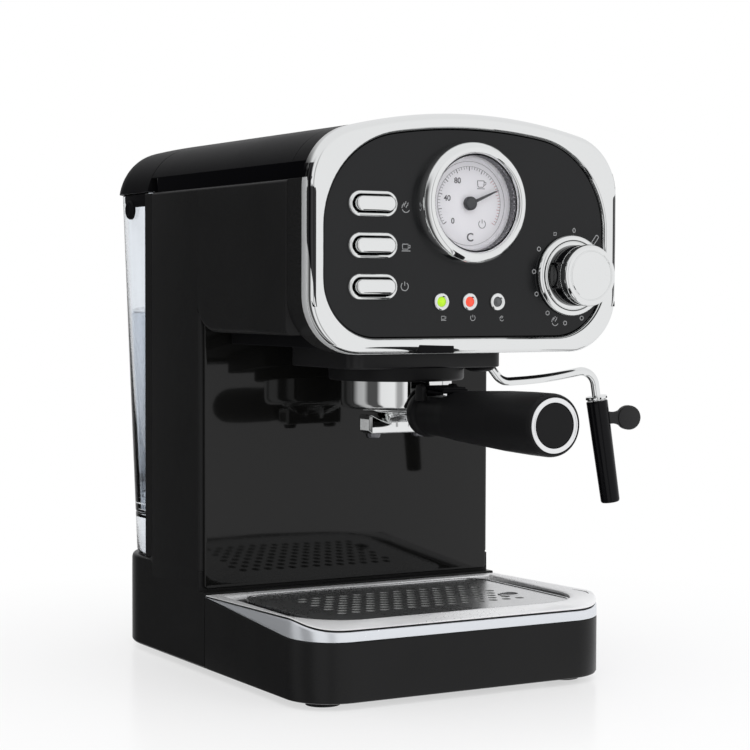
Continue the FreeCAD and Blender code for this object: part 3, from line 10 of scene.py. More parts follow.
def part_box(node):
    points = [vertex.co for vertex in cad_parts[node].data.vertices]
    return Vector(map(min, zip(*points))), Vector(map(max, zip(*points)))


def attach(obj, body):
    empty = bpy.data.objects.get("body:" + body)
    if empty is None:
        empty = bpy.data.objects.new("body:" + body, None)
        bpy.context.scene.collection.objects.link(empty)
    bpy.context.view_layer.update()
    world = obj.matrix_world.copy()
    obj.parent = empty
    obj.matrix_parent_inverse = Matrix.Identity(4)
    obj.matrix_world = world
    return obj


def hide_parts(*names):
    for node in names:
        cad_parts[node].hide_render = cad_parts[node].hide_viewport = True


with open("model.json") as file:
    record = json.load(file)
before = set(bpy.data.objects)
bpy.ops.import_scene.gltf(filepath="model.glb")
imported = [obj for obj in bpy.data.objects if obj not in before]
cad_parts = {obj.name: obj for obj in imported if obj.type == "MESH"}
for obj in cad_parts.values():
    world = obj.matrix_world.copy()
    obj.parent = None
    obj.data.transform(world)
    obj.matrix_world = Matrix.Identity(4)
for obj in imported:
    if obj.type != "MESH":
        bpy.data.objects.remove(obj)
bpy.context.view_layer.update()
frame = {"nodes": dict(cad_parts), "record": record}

# Everything below is drawn in millimetres about the machine's centre plane, with z = 0 on the counter.
# P() turns that into the row frame: the shell gives the centre plane, the bezel's front gives y = -98.
shell_lo, shell_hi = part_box("body_shell")
CX = (shell_lo.x + shell_hi.x) / 2
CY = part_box("front_bezel")[0].y + 0.098


def P(x, y, z):
    return Vector((x * 0.001 + CX, y * 0.001 + CY, z * 0.001))


# ------------------------------------------------------------------ materials
def material(name, colour, rough, metal=0.0, tint=0.12, rough_var=0.06, grain=900.0, bump=0.0, broad=30.0,
        stretch=(1, 1, 1), spec=0.5, clear=0.0, ior=1.5, glow=0.0, marks=0.0, aniso=0.0):
    """Procedural finish: broad colour drift, fine grain in roughness and height, and soft handling marks."""
    mat = bpy.data.materials.new(name)
    mat.use_nodes = True
    nodes, links = mat.node_tree.nodes, mat.node_tree.links
    bsdf = nodes["Principled BSDF"]
    coord = nodes.new("ShaderNodeTexCoord")
    mapping = nodes.new("ShaderNodeMapping")
    mapping.inputs["Scale"].default_value = stretch
    links.new(coord.outputs["Object"], mapping.inputs["Vector"])

    def noise(scale, detail):
        n = nodes.new("ShaderNodeTexNoise")
        n.inputs["Scale"].default_value = scale
        n.inputs["Detail"].default_value = detail
        links.new(mapping.outputs["Vector"], n.inputs["Vector"])
        return n.outputs["Fac"]

    wide = noise(broad, 4)
    fine = noise(grain, 2)
    mix = nodes.new("ShaderNodeMix")
    mix.data_type = "RGBA"
    mix.inputs["A"].default_value = tuple(c * (1 - tint) for c in colour) + (1,)
    mix.inputs["B"].default_value = tuple(min(1, c * (1 + tint)) for c in colour) + (1,)
    links.new(wide, mix.inputs["Factor"])
    links.new(mix.outputs["Result"], bsdf.inputs["Base Color"])

    def ranged(source, low, high, first=0.3, last=0.7):
        m = nodes.new("ShaderNodeMapRange")
        m.inputs["From Min"].default_value = first
        m.inputs["From Max"].default_value = last
        m.inputs["To Min"].default_value = low
        m.inputs["To Max"].default_value = high
        links.new(source, m.inputs["Value"])
        return m.outputs["Result"]

    def sum_of(a, b):
        m = nodes.new("ShaderNodeMath")
        m.operation = "ADD"
        links.new(a, m.inputs[0])
        links.new(b, m.inputs[1])
        return m.outputs["Value"]

    level = ranged(fine, rough - rough_var * 0.5, rough + rough_var * 0.5)
    smudge = ranged(noise(broad * 0.6, 6), 0.0, max(marks, rough_var * 0.5), 0.45, 0.75)
    links.new(sum_of(level, smudge), bsdf.inputs["Roughness"])
    if bump:
        b = nodes.new("ShaderNodeBump")
        b.inputs["Strength"].default_value = 1.0
        b.inputs["Distance"].default_value = bump
        links.new(fine, b.inputs["Height"])
        links.new(b.outputs["Normal"], bsdf.inputs["Normal"])
    for socket, value in (("Metallic", metal), ("IOR", ior), ("Specular IOR Level", spec),
            ("Transmission Weight", clear), ("Anisotropic", aniso)):
        bsdf.inputs[socket].default_value = value
    if glow:
        bsdf.inputs["Emission Color"].default_value = tuple(colour) + (1,)
        bsdf.inputs["Emission Strength"].default_value = glow
    return mat


MATTE = material("matte_black", (0.005, 0.005, 0.0056), 0.45, rough_var=0.08, grain=2600, bump=0.000018,
    spec=0.06)
SATIN = material("satin_black", (0.0125, 0.0125, 0.0127), 0.28, rough_var=0.05, grain=3200, bump=0.00001,
    spec=0.12)
GLOSS = material("gloss_black", (0.0006, 0.0006, 0.0013), 0.05, rough_var=0.02, grain=700, marks=0.04,
    spec=0.5)
MIRROR = material("splash_black", (0.006, 0.006, 0.0057), 0.05, rough_var=0.015, grain=500, marks=0.05,
    spec=0.3)
GRAPHITE = material("panel_graphite", (0.007, 0.0074, 0.0081), 0.17, rough_var=0.04, grain=3400,
    bump=0.000004, spec=0.27)
RIM = material("rim_silver", (0.97, 0.975, 0.985), 0.3, metal=0.35, rough_var=0.08, grain=900, marks=0.05)
# Dark grey on the walls of the grid's holes: painted shade inside the holes, not a finish of the steel.
HOLE_SHADE = material("hole_edge_painted_shade", (0.2, 0.205, 0.2), 0.5, metal=0.2, rough_var=0.1, grain=2600)
CHROME = material("chrome", (0.8, 0.81, 0.805), 0.045, 1.0, tint=0.015, rough_var=0.015, grain=420,
    marks=0.03)
SOFT_CHROME = material("soft_chrome", (0.86, 0.865, 0.87), 0.12, 1.0, tint=0.02, rough_var=0.04, grain=420,
    marks=0.05)
SILVER = material("satin_silver", (0.78, 0.79, 0.795), 0.42, 0.6, tint=0.03, rough_var=0.06, grain=1500)
STEEL = material("brushed_steel", (0.62, 0.63, 0.64), 0.24, 1.0, tint=0.06, rough_var=0.1, grain=500,
    bump=0.000006, stretch=(0.06, 1.0, 1.0), aniso=0.4)
DARK_STEEL = material("dark_steel", (0.16, 0.16, 0.17), 0.3, 1.0, tint=0.05, rough_var=0.08, grain=900)
BAND = material("band_metal", (0.74, 0.765, 0.8), 0.22, 0.6, tint=0.02, rough_var=0.04, grain=420,
    marks=0.05)
GRID = material("polished_plate", (0.62, 0.625, 0.63), 0.27, 1.0, tint=0.03, rough_var=0.06, grain=450,
    marks=0.06)
ALUMINIUM = material("cast_aluminium", (0.45, 0.45, 0.46), 0.42, 1.0, tint=0.05, rough_var=0.12, grain=1400,
    bump=0.00004)
BRASS = material("brass", (0.72, 0.55, 0.27), 0.25, 1.0, tint=0.05, rough_var=0.1, grain=600)
RUBBER = material("rubber", (0.009, 0.009, 0.009), 0.78, rough_var=0.1, grain=1800, bump=0.00003, spec=0.2)
GRIP = material("grip_black", (0.0085, 0.0085, 0.009), 0.42, rough_var=0.08, grain=2800, bump=0.00002,
    spec=0.12)
COLLAR = material("collar_black", (0.0135, 0.0135, 0.0142), 0.36, rough_var=0.08, grain=2600, bump=0.000015,
    spec=0.22)
MATTE_SOFT = material("tab_black", (0.014, 0.014, 0.0145), 0.5, rough_var=0.08, grain=2400, bump=0.00002,
    spec=0.3)
SLEEVE = material("sleeve_black", (0.003, 0.003, 0.0038), 0.12, rough_var=0.04, grain=900, marks=0.05,
    spec=0.14)
CLEAR = material("clear_tank", (0.93, 0.955, 0.985), 0.035, tint=0.01, rough_var=0.03, grain=300, clear=1.0,
    ior=1.45)
GLASS = material("gauge_glass", (1.0, 1.0, 1.0), 0.01, tint=0.0, rough_var=0.005, grain=300, clear=1.0,
    ior=1.2)
WATER = material("water", (0.74, 0.79, 0.86), 0.01, tint=0.02, rough_var=0.005, grain=60, clear=1.0,
    ior=1.33)
DIAL = material("dial_print", (0.93, 0.92, 0.965), 0.42, tint=0.03, rough_var=0.04, grain=900, broad=60)
DIAL_INK = material("dial_ink", (0.1, 0.095, 0.11), 0.5, tint=0.1, grain=900)
DIAL_RED = material("dial_red", (0.62, 0.36, 0.4), 0.5, tint=0.1, grain=900)
NEEDLE = material("needle_grey", (0.035, 0.037, 0.043), 0.4, tint=0.1, grain=1500)
PRINT = material("panel_print", (0.3, 0.305, 0.31), 0.5, tint=0.08, grain=1500)
GREEN = material("lens_green", (0.36, 0.62, 0.015), 0.15, tint=0.1, rough_var=0.05, grain=800, glow=0.55)
RED = material("lens_red", (0.8, 0.07, 0.035), 0.15, tint=0.1, rough_var=0.05, grain=800, glow=0.55)
LENS = material("lens_clear", (0.1, 0.105, 0.11), 0.12, tint=0.1, rough_var=0.05, grain=800)
SILICONE = material("silicone", (0.35, 0.1, 0.06), 0.5, tint=0.1, grain=900, bump=0.00002)
BOARD = material("circuit_board", (0.015, 0.11, 0.05), 0.35, tint=0.3, grain=500, broad=260)

FINISH = {
    "rubber": RUBBER, "black_plastic": MATTE, "black_metal": SATIN, "gloss_black": GLOSS,
    "graphite": GRAPHITE, "chrome": CHROME, "steel": STEEL, "aluminium": ALUMINIUM, "brass": BRASS,
    "clear": CLEAR, "dial": DIAL, "silicone": SILICONE, "board": BOARD, "green_lens": GREEN,
    "red_lens": RED, "clear_lens": LENS,
}
for entry in frame["record"]["subparts"]:
    node = frame["nodes"][entry["node"]]
    node.data.materials.clear()
    node.data.materials.append(FINISH[entry["material_slot"]])


# ------------------------------------------------------------------ outlines, in two dimensions
def arc(cx, cy, r, a0, a1, n):
    out = []
    for i in range(n + 1):
        a = math.radians(a0 + (a1 - a0) * i / n)
        out.append((cx + r * math.cos(a), cy + r * math.sin(a)))
    return out


def circle(r, n=64, cx=0.0, cy=0.0):
    return [(cx + r * math.cos(2 * math.pi * i / n), cy + r * math.sin(2 * math.pi * i / n))
        for i in range(n)]


def rounded(points, n=10):
    """Outline through (a, b, radius) corners, each turned by a tangent arc of n steps."""
    out = []
    count = len(points)
    for i, (a, b, r) in enumerate(points):
        corner = Vector((a, b))
        before = (Vector(points[i - 1][:2]) - corner).normalized()
        after = (Vector(points[(i + 1) % count][:2]) - corner).normalized()
        r = max(r, 0.02)
        half = before.angle(after) / 2
        start = corner + before * (r / math.tan(half))
        end = corner + after * (r / math.tan(half))
        centre = corner + (before + after).normalized() * (r / math.sin(half))
        v0 = start - centre
        turn = math.pi - 2 * half
        way = 1 if v0.x * (end - centre).y - v0.y * (end - centre).x > 0 else -1
        for k in range(n + 1):
            t = way * turn * k / n
            out.append((centre.x + v0.x * math.cos(t) - v0.y * math.sin(t), centre.y + v0.x * math.sin(t)
                + v0.y * math.cos(t)))
    return out


def rect(x0, x1, y0, y1, r, n=8):
    return rounded([(x0, y0, r), (x1, y0, r), (x1, y1, r), (x0, y1, r)], n)


def pill(length, height, inset=0.0, n=12):
    a = length / 2 - inset
    b = height / 2 - inset
    return rounded([(-a, -b, b - 0.01), (a, -b, b - 0.01), (a, b, b - 0.01), (-a, b, b - 0.01)], n)


def shield(half, low, high, crown, shoulder, chin):
    """Face outline: arched top, rounded shoulders, straight sides, rounded chin; starts at the top left."""
    arch_z = high - crown
    cx = half - shoulder
    cz = arch_z + math.sqrt((crown - shoulder) ** 2 - cx ** 2)
    a = math.degrees(math.atan2(cz - arch_z, cx))
    out = arc(0, arch_z, crown, 180 - a, a, 40)
    out += arc(cx, cz, shoulder, a, 0, 18)[1:]
    out += [(half, cz + (low + chin - cz) * k / 4) for k in range(1, 4)]
    out += arc(half - chin, low + chin, chin, 0, -90, 18)
    out += [(half - chin - (half - chin) * 2 * k / 6, low) for k in range(1, 6)]
    out += arc(-half + chin, low + chin, chin, -90, -180, 18)
    out += [(-half, low + chin + (cz - low - chin) * k / 4) for k in range(1, 4)]
    out += arc(-cx, cz, shoulder, 180, 180 - a, 18)[:-1]
    return out


def face(inset):
    return shield(95 - inset, 180.2 + inset, 304.5 - inset, 290 - inset, 32 - inset, 30 - inset)


def opening(inset):
    return shield(85.5 - inset, 188.8 + inset, 296.0 - inset, 281.5 - inset, 48 - inset, 30 - inset)


def clip_outline(points, level, above):
    """The part of an (x, z) outline above or below a level."""
    out = []
    for i, p in enumerate(points):
        q = points[(i + 1) % len(points)]
        inside = (p[1] >= level) == above
        if inside:
            out.append(p)
        if inside != ((q[1] >= level) == above):
            t = (level - p[1]) / (q[1] - p[1])
            out.append((p[0] + (q[0] - p[0]) * t, level))
    return out


# ------------------------------------------------------------------ meshes
def finish_mesh(name, mesh, mats, body, repl=(), smooth=32):
    bm = bmesh.new()
    bm.from_mesh(mesh)
    bmesh.ops.remove_doubles(bm, verts=bm.verts, dist=2e-6)
    bmesh.ops.dissolve_degenerate(bm, edges=bm.edges, dist=1e-7)
    bmesh.ops.recalc_face_normals(bm, faces=bm.faces)
    bm.to_mesh(mesh)
    bm.free()
    for p in mesh.polygons:
        p.use_smooth = True
    mesh.set_sharp_from_angle(angle=math.radians(smooth))
    for m in mats if isinstance(mats, (list, tuple)) else [mats]:
        mesh.materials.append(m)
    obj = bpy.data.objects.new(name, mesh)
    bpy.context.scene.collection.objects.link(obj)
    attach(obj, body)
    if repl:
        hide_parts(*repl)
    return obj


def make(name, verts, faces, mats, body, repl=(), smooth=32, slot=None):
    mesh = bpy.data.meshes.new(name)
    mesh.from_pydata([P(*v) for v in verts], [], faces)
    return finish_mesh(name, mesh, mats, body, repl, smooth)


def loft(rings, caps=(True, True), ring_closed=True, path_closed=False):
    """Vertices and faces of a skin through equal rings of 3-D points."""
    n = len(rings[0])
    verts = [p for r in rings for p in r]
    faces = []
    last = len(rings) if path_closed else len(rings) - 1
    for i in range(last):
        k = (i + 1) % len(rings)
        for j in range(n if ring_closed else n - 1):
            m = (j + 1) % n
            faces.append((i * n + j, i * n + m, k * n + m, k * n + j))
    if caps[0] and not path_closed:
        faces.append(tuple(range(n - 1, -1, -1)))
    if caps[1] and not path_closed:
        faces.append(tuple((len(rings) - 1) * n + j for j in range(n)))
    return verts, faces


def join(*parts):
    verts, faces = [], []
    for v, f in parts:
        k = len(verts)
        verts += v
        faces += [tuple(i + k for i in face_) for face_ in f]
    return verts, faces


def in_plane(plane, a, b, at):
    if plane == "xy":
        return (a, b, at)
    if plane == "xz":
        return (a, at, b)
    return (at, a, b)


def stack(outline, profile, plane, caps=(True, True), path_closed=False, shift=(0, 0)):
    """Skin through outline(inset) placed at each (inset, position)."""
    rings = [[in_plane(plane, a + shift[0], b + shift[1], at) for a, b in outline(inset)] for inset,
        at in profile]
    return loft(rings, caps, path_closed=path_closed)


def edges(lo_, hi_, r, n=4, r2=None):
    """Profile of a block from lo_ to hi_ whose two rims are rounded by r and r2."""
    r2 = r if r2 is None else r2
    out = []
    for k in range(n + 1):
        a = math.pi / 2 * k / n
        out.append((r * (1 - math.sin(a)), lo_ + r * (1 - math.cos(a))))
    for k in range(n + 1):
        a = math.pi / 2 * k / n
        out.append((r2 * (1 - math.cos(a)), hi_ - r2 * (1 - math.sin(a))))
    return out


def lathe(profile, centre, axis="z", n=64, caps=(False, False), path_closed=False):
    """Round skin through (radius, distance along axis) points."""
    rings = []
    for r, along in profile:
        ring = []
        for a, b in circle(max(r, 0.001), n):
            if axis == "z":
                ring.append((centre[0] + a, centre[1] + b, centre[2] + along))
            elif axis == "y":
                ring.append((centre[0] + a, centre[1] + along, centre[2] + b))
            else:
                ring.append((centre[0] + along, centre[1] + a, centre[2] + b))
        rings.append(ring)
    return loft(rings, caps, path_closed=path_closed)


def soften(profile, r, n=3, closed=False):
    """Rounds the corners of a (radius, distance) profile."""
    out = []
    count = len(profile)
    for i, p in enumerate(profile):
        if not closed and i in (0, count - 1):
            out.append(p)
            continue
        c = Vector(p)
        a = Vector(profile[i - 1]) - c
        b = Vector(profile[(i + 1) % count]) - c
        if a.length < 1e-6 or b.length < 1e-6:
            out.append(p)
            continue
        reach = min(r, a.length * 0.45, b.length * 0.45)
        s = c + a.normalized() * reach
        e = c + b.normalized() * reach
        for k in range(n + 1):
            t = k / n
            q = s * (1 - t) ** 2 + c * 2 * t * (1 - t) + e * t * t
            out.append((q.x, q.y))
    return out


def tube(points, radius, n=20, caps=(True, True)):
    """Skin of a round rod along 3-D points; radius may be a list."""
    pts = [Vector(p) for p in points]
    radii = radius if isinstance(radius, (list, tuple)) else [radius] * len(pts)
    rings = []
    up = None
    for i, p in enumerate(pts):
        d = (pts[min(i + 1, len(pts) - 1)] - pts[max(i - 1, 0)]).normalized()
        if up is None:
            up = Vector((0, 0, 1)) if abs(d.z) < 0.9 else Vector((0, 1, 0))
        side = d.cross(up).normalized()
        up = side.cross(d).normalized()
        rings.append([tuple(p + side * a + up * b) for a, b in circle(radii[i], n)])
    return loft(rings, caps)


def bent(points, r, n=10):
    """Points along straight runs joined by tangent arcs."""
    out = [Vector(points[0])]
    for i in range(1, len(points) - 1):
        c = Vector(points[i])
        a = (Vector(points[i - 1]) - c).normalized()
        b = (Vector(points[i + 1]) - c).normalized()
        half = a.angle(b) / 2
        reach = r / math.tan(half)
        centre = c + (a + b).normalized() * (r / math.sin(half))
        s = c + a * reach - centre
        e = c + b * reach - centre
        whole = s.angle(e)
        for k in range(n + 1):
            t = k / n
            v = (s * math.sin((1 - t) * whole) + e * math.sin(t * whole)) / math.sin(whole)
            out.append(centre + v)
    out.append(Vector(points[-1]))
    return out


def plate(outer, holes, plane, lo_, hi_, chamfer=0.0):
    """Flat plate with holes: both faces triangulated, with walls round every outline."""
    loops = [outer] + holes
    coords, edge_list = [], []
    for loop in loops:
        k = len(coords)
        coords += [Vector(p) for p in loop]
        edge_list += [(k + i, k + (i + 1) % len(loop)) for i in range(len(loop))]
    co, _, tris, _, _, _ = delaunay_2d_cdt(coords, edge_list, [], 0, 1e-5)

    def inside(p, loop):
        hit = False
        j = len(loop) - 1
        for i in range(len(loop)):
            xi, yi = loop[i]
            xj, yj = loop[j]
            if (yi > p[1]) != (yj > p[1]) and p[0] < (xj - xi) * (p[1] - yi) / (yj - yi) + xi:
                hit = not hit
            j = i
        return hit

    boxes = [(min(p[0] for p in h), max(p[0] for p in h), min(p[1] for p in h), max(p[1] for p in h))
        for h in holes]
    keep = []
    for t in tris:
        cx = sum(co[i].x for i in t) / len(t)
        cy = sum(co[i].y for i in t) / len(t)
        if not inside((cx, cy), outer):
            continue
        blocked = False
        for h, (x0, x1, y0, y1) in zip(holes, boxes):
            if x0 < cx < x1 and y0 < cy < y1 and inside((cx, cy), h):
                blocked = True
                break
        if not blocked:
            keep.append(tuple(t))
    m = len(co)
    verts = [in_plane(plane, p.x, p.y, lo_) for p in co] + [in_plane(plane, p.x, p.y, hi_) for p in co]
    faces = keep + [tuple(i + m for i in reversed(t)) for t in keep]
    for loop in loops:
        k = len(verts)
        c = len(loop)
        verts += [in_plane(plane, p[0], p[1], lo_) for p in loop] + [in_plane(plane, p[0], p[1], hi_)
            for p in loop]
        faces += [(k + i, k + (i + 1) % c, k + c + (i + 1) % c, k + c + i) for i in range(c)]
    return verts, faces


def strokes(lines, width, y0, y1, closed=()):
    """Thin raised printed lines: each a list of (x, z) points, drawn as a ribbon of the given width."""
    parts = []
    for number, line in enumerate(lines):
        loop = number in closed
        n = len(line)
        left, right = [], []
        for i in range(n):
            a = Vector(line[i - 1] if (i > 0 or loop) else line[0])
            b = Vector(line[(i + 1) % n] if (i < n - 1 or loop) else line[-1])
            d = (b - a).normalized()
            side = Vector((-d.y, d.x)) * (width / 2)
            p = Vector(line[i])
            left.append(p + side)
            right.append(p - side)
        rings = [[(q.x, y0, q.y), (r.x, y0, r.y), (r.x, y1, r.y), (q.x, y1, q.y)] for q,
            r in zip(left, right)]
        parts.append(loft(rings, (not loop, not loop), path_closed=loop))
    return join(*parts)


def bevel(obj, name, width, segments, degrees, harden=False):
    """Rounds an object's sharp edges with a bevel modifier."""
    edge = obj.modifiers.new(name, "BEVEL")
    edge.width = width
    edge.segments = segments
    edge.limit_method = "ANGLE"
    edge.angle_limit = math.radians(degrees)
    edge.harden_normals = harden


def cut_out(piece, *skins):
    """Cuts closed skins out of a piece and keeps the result as its mesh."""
    verts, faces = join(*skins)
    mesh = bpy.data.meshes.new("cutter")
    mesh.from_pydata([P(*v) for v in verts], [], faces)
    cutter = bpy.data.objects.new("cutter", mesh)
    bpy.context.scene.collection.objects.link(cutter)
    cut = piece.modifiers.new("cut", "BOOLEAN")
    cut.object = cutter
    cut.solver = "EXACT"
    graph = bpy.context.evaluated_depsgraph_get()
    piece.data = bpy.data.meshes.new_from_object(piece.evaluated_get(graph), depsgraph=graph)
    piece.modifiers.clear()
    bpy.data.objects.remove(cutter)


SIDES = ((-1, "left"), (1, "right"))
PANEL_Y = -95.5
PRINT_Y = (-95.4, -95.56)
SEAM_Z = 269.0
DIAL_Z = 258
LAMP_Z = 207
KNOB_X = 65
KNOB_Z = 221
BITE_X = 25.6
BITE_R = 13.0
GROUP_Y = -22


# ------------------------------------------------------------------ body shell
def base_ring(z, inset, front, rear_inset):
    """Plan outline of the rear base: the inset applies behind the column only."""
    out = []
    n = 20
    x0 = 95 - inset
    out.append((-x0, front + inset, z))
    out.append((x0, front + inset, z))
    for y in (60, 92, 96, 101, 107):
        share = min(1, max(0, (y - 92) / 12))
        out.append((95 - inset - rear_inset * share, y, z))
    r = 50 - inset - rear_inset
    for a, b in arc(45, 115, r, 0, 90, n):
        out.append((a, b, z))
    for a, b in arc(-45, 115, r, 90, 180, n):
        out.append((a, b, z))
    for y in (107, 101, 96, 92, 60):
        share = min(1, max(0, (y - 92) / 12))
        out.append((-(95 - inset - rear_inset * share), y, z))
    return out


rings = [base_ring(3.3, 1.6, 24.4, 0), base_ring(3.7, 0.7, 24.4, 0), base_ring(4.7, 0.0, 24.4, 0),
    base_ring(45.2, 0.0, 24.4, 0), base_ring(45.5, 0.0, 24.7, 0), base_ring(45.5, 0.0, 31.4, 0),
    base_ring(53.6, 0.06, 31.4, 0), base_ring(54.8, 0.06, 31.4, 0.35), base_ring(55.6, 0.06, 31.4, 1.1),
    base_ring(56.0, 0.06, 31.4, 2.3)]
make("shell_base", *loft(rings), SATIN, "machine", ("body_shell",))


def column_ring(z, inset, front, r_front):
    pts = rounded([(-95 + inset, front, r_front), (95 - inset, front, r_front),
        (95 - inset, 104 - inset, 9 - inset), (-95 + inset, 104 - inset, 9 - inset)], 8)
    return [(a, b, z) for a, b in pts]


rings = [column_ring(46.5, 0, 31.6, 2), column_ring(57.0, 0, 31.6, 2), column_ring(57.2, 0, 31, 2),
    column_ring(200.2, 0, 31, 2), column_ring(200.3, 0, 33, 0.02), column_ring(267.2, 0, 33, 0.02),
    column_ring(268.1, 0.4, 33, 0.02), column_ring(268.7, 1.0, 33, 0.02), column_ring(269.0, 1.9, 33, 0.02)]
make("shell_column", *loft(rings), SATIN, "machine", ("body_shell",))
for side, label in SIDES:
    verts, faces = stack(lambda i: rounded([(96, 57.5 + i, 0.5), (105.5 - i, 57.5 + i, 0.5),
        (105.5 - i, 268.6 - i, 0.5), (96, 268.6 - i, 0.5)], 4), [(0.2, side * 93.6), (0.0, side * 93.8),
        (0.0, side * 94.7), (0.3, side * 95.0)], "yz")
    make("tank_guide_" + label, verts, faces, SATIN, "machine", ("body_shell",))


def head_ring(y, inset, floor):
    """Cross-section of the head: rounded lower side edges and a softened upper rim."""
    h = 95 - inset
    r = 3.5 - inset
    low = floor + inset
    out = [(-(h - 1.9), 269.0 - inset), (-(h - 1.0), 268.7 - inset), (-(h - 0.4), 268.1 - inset),
        (-h, 267.2 - inset)]
    out += [(-h, 250), (-h, 225)]
    out += arc(-h + r, low + r, r, 180, 270, 14)
    out += [(-40, low), (0, low), (40, low)]
    out += arc(h - r, low + r, r, -90, 0, 14)
    out += [(h, 225), (h, 250)]
    out += [(h, 267.2 - inset), (h - 0.4, 268.1 - inset), (h - 1.0, 268.7 - inset),
        (h - 1.9, 269.0 - inset)]
    return [(a, y, b) for a, b in out]


rings = [head_ring(-72.8, 0.5, 189.7), head_ring(-72.6, 0.15, 189.7), head_ring(-72.2, 0.0, 189.7),
    head_ring(-30, 0, 189.7), head_ring(-3, 0, 189.7)]
for k in range(1, 17):
    t = math.sin(math.pi / 2 * k / 16)
    rings.append(head_ring(-3 + 36 * t, 0, 189.7 + 10.6 * t ** 6))
make("shell_head", *loft(rings), SATIN, "machine", ("body_shell",))

verts, faces = stack(lambda i: rounded([(-91.2 + i, -89.3, 0.5), (91.2 - i, -89.3, 0.5),
    (91.2 - i, 103, 8 - i), (-91.2 + i, 103, 8 - i)], 8), [(0, 268.0), (0, 277.7), (1, 278.5)], "xy")
make("gloss_band", verts, faces, GLOSS, "machine", ("body_shell",))

# ------------------------------------------------------------------ splash panel
verts, faces = stack(lambda i: rect(-92.5 + i, 92.5 - i, 47 + i, 197.7 - i, 2.2 - i),
    edges(29.0, 31.0, 0.5), "xz")
make("splash_panel_skin", verts, faces, MIRROR, "machine", ("splash_panel",))


# ------------------------------------------------------------------ front frame, bezel sides, top cover
def arch(inset, level=277.6):
    return clip_outline(face(inset), level, True)


def u_line(inset):
    """The part of the face outline below the seam, from end to end."""
    outer = clip_outline(face(inset), SEAM_Z, False)
    start = max(range(len(outer)), key=lambda i: (outer[i][1], outer[i][0]))
    outer = outer[start:] + outer[:start]
    if outer[1][1] > SEAM_Z - 0.1:
        outer = outer[1:] + outer[:1]
    return outer


def u_shape(inset, wall=3.4):
    return u_line(inset) + u_line(inset + wall)[::-1]


def flat_prism(outline, lo_, hi_, plane="xz"):
    ring0 = [in_plane(plane, a, b, lo_) for a, b in outline]
    ring1 = [in_plane(plane, a, b, hi_) for a, b in outline]
    return loft([ring0, ring1])


verts, faces = flat_prism(u_shape(0.5), -89.7, -73.1)
frame_low = make("front_frame_sides", verts, faces, SATIN, "machine", ("front_frame",),
    slot="black_plastic")
rings = [[(a, y, b) for a, b in u_line(i)] for i, y in ((1.5, -89.5), (0.2, -89.6), (0.0, -89.9),
    (0.0, -94.3), (0.25, -94.75), (1.5, -94.8))]
make("bezel_strip", *loft(rings, (False, False), ring_closed=False), SILVER, "machine")


def side_x(z, inset):
    """Half width of the face outline at a height."""
    if z > 264.7:
        return 63 + math.sqrt((32 - inset) ** 2 - (z - 264.7) ** 2)
    if z < 210.2:
        return 65 + math.sqrt((30 - inset) ** 2 - (z - 210.2) ** 2)
    return 95 - inset


for side, label in SIDES:
    rings = []
    for z, start in ((204.5, 0.92), (206, 0.8), (210, 0.5), (216, 0.25), (224, 0.1), (240, 0.0), (262, 0.0),
            (268.9, 0.0), (269.0, -1.0), (272.0, -1.0), (275.4, -1.0), (276.2, -1.0)):
        corner = [(0.3, -94.7), (0.75, -95.8), (1.4, -96.75), (2.2, -97.45), (3.0, -97.9), (3.9, -98.12),
            (4.1, -97.9)]
        if start >= 0:
            corner = [(i + (3.9 - i) * start, y + (-98.12 - y) * start) for i, y in corner]
        if z > 262:
            keep = 1 - 0.62 * min(1.0, (z - 262) / 12)
            corner = [(0.3 + (i - 0.3) * keep, -94.7 + (y + 94.7) * keep ** 0.6) for i, y in corner]
        first = (0.0, -89.4) if start < 0 else corner[0]
        ring = [(side * side_x(z, first[0] - 0.08), first[1], z)]
        ring += [(side * side_x(z, i - 0.08), y, z) for i, y in corner]
        ring += [(side * side_x(z, max(i for i, y in corner)), -93, z), (side * side_x(z, 1.6),
            first[1] + 0.05, z)]
        rings.append(ring)
    make("bezel_side_" + label, *loft(rings), GLOSS, "machine")
verts, faces = flat_prism(arch(0.75), -89.7, -73.0)
frame_top = make("front_frame_arch", verts, faces, MATTE, "machine", ("front_frame",))
verts, faces = flat_prism(arch(0.8), -72.8, 103.8)
cover = make("top_cover_skin", verts, faces, MATTE, "machine", ("top_cover",))
for piece in (frame_low, frame_top, cover):
    bevel(piece, "rim", 0.0005, 3, 50, True)


# ------------------------------------------------------------------ tank lid
def lid_rings(inset, z0, y0):
    """Arched cross-sections that shrink round the rear of the lid."""
    base = clip_outline(face(0.8 + inset), z0, True)
    top = max(b for a, b in base)
    wide = max(a for a, b in base)
    rear = 174 - inset
    out = []
    ys = [y0 + (139 - y0) * k / 3 for k in range(4)]
    ys += [139 + (rear - 139) * math.sin(math.pi / 2 * k / 22) for k in range(1, 23)]
    for y in ys:
        w = wide
        if y > 139:
            w = wide - (35 - inset) + math.sqrt(max(0.0, (35 - inset) ** 2 - (y - 139) ** 2))
        h = top
        if y > 154:
            h = top - (20 - inset) + (20 - inset) * max(0.0, 1 - ((y - 154) / (20 - inset)) ** 2.3) ** 0.5
        out.append([(a * w / wide, y, z0 + (b - z0) * (h - z0) / (top - z0)) for a, b in base])
    return out


outer = lid_rings(0, 269.9, 104.3)
inner = lid_rings(2.4, 269.9, 106.8)
verts, faces = join(loft(outer, (True, True)), loft(inner, (True, True)))
make("lid_shell", verts, faces, MATTE, "lid", ("tank_lid",))


# ------------------------------------------------------------------ water tank
def tank_ring(z, inset):
    t = (z - 56.3) / (268 - 56.3)
    half = 90 + 2.5 * t - inset
    rear = 157 + 15 * t - inset
    front = 104.8 + inset
    pts = rounded([(-half, front, 3), (half, front, 3), (half, rear, 35 - inset),
        (-half, rear, 35 - inset)], 14)
    return [(a, b, z) for a, b in pts]


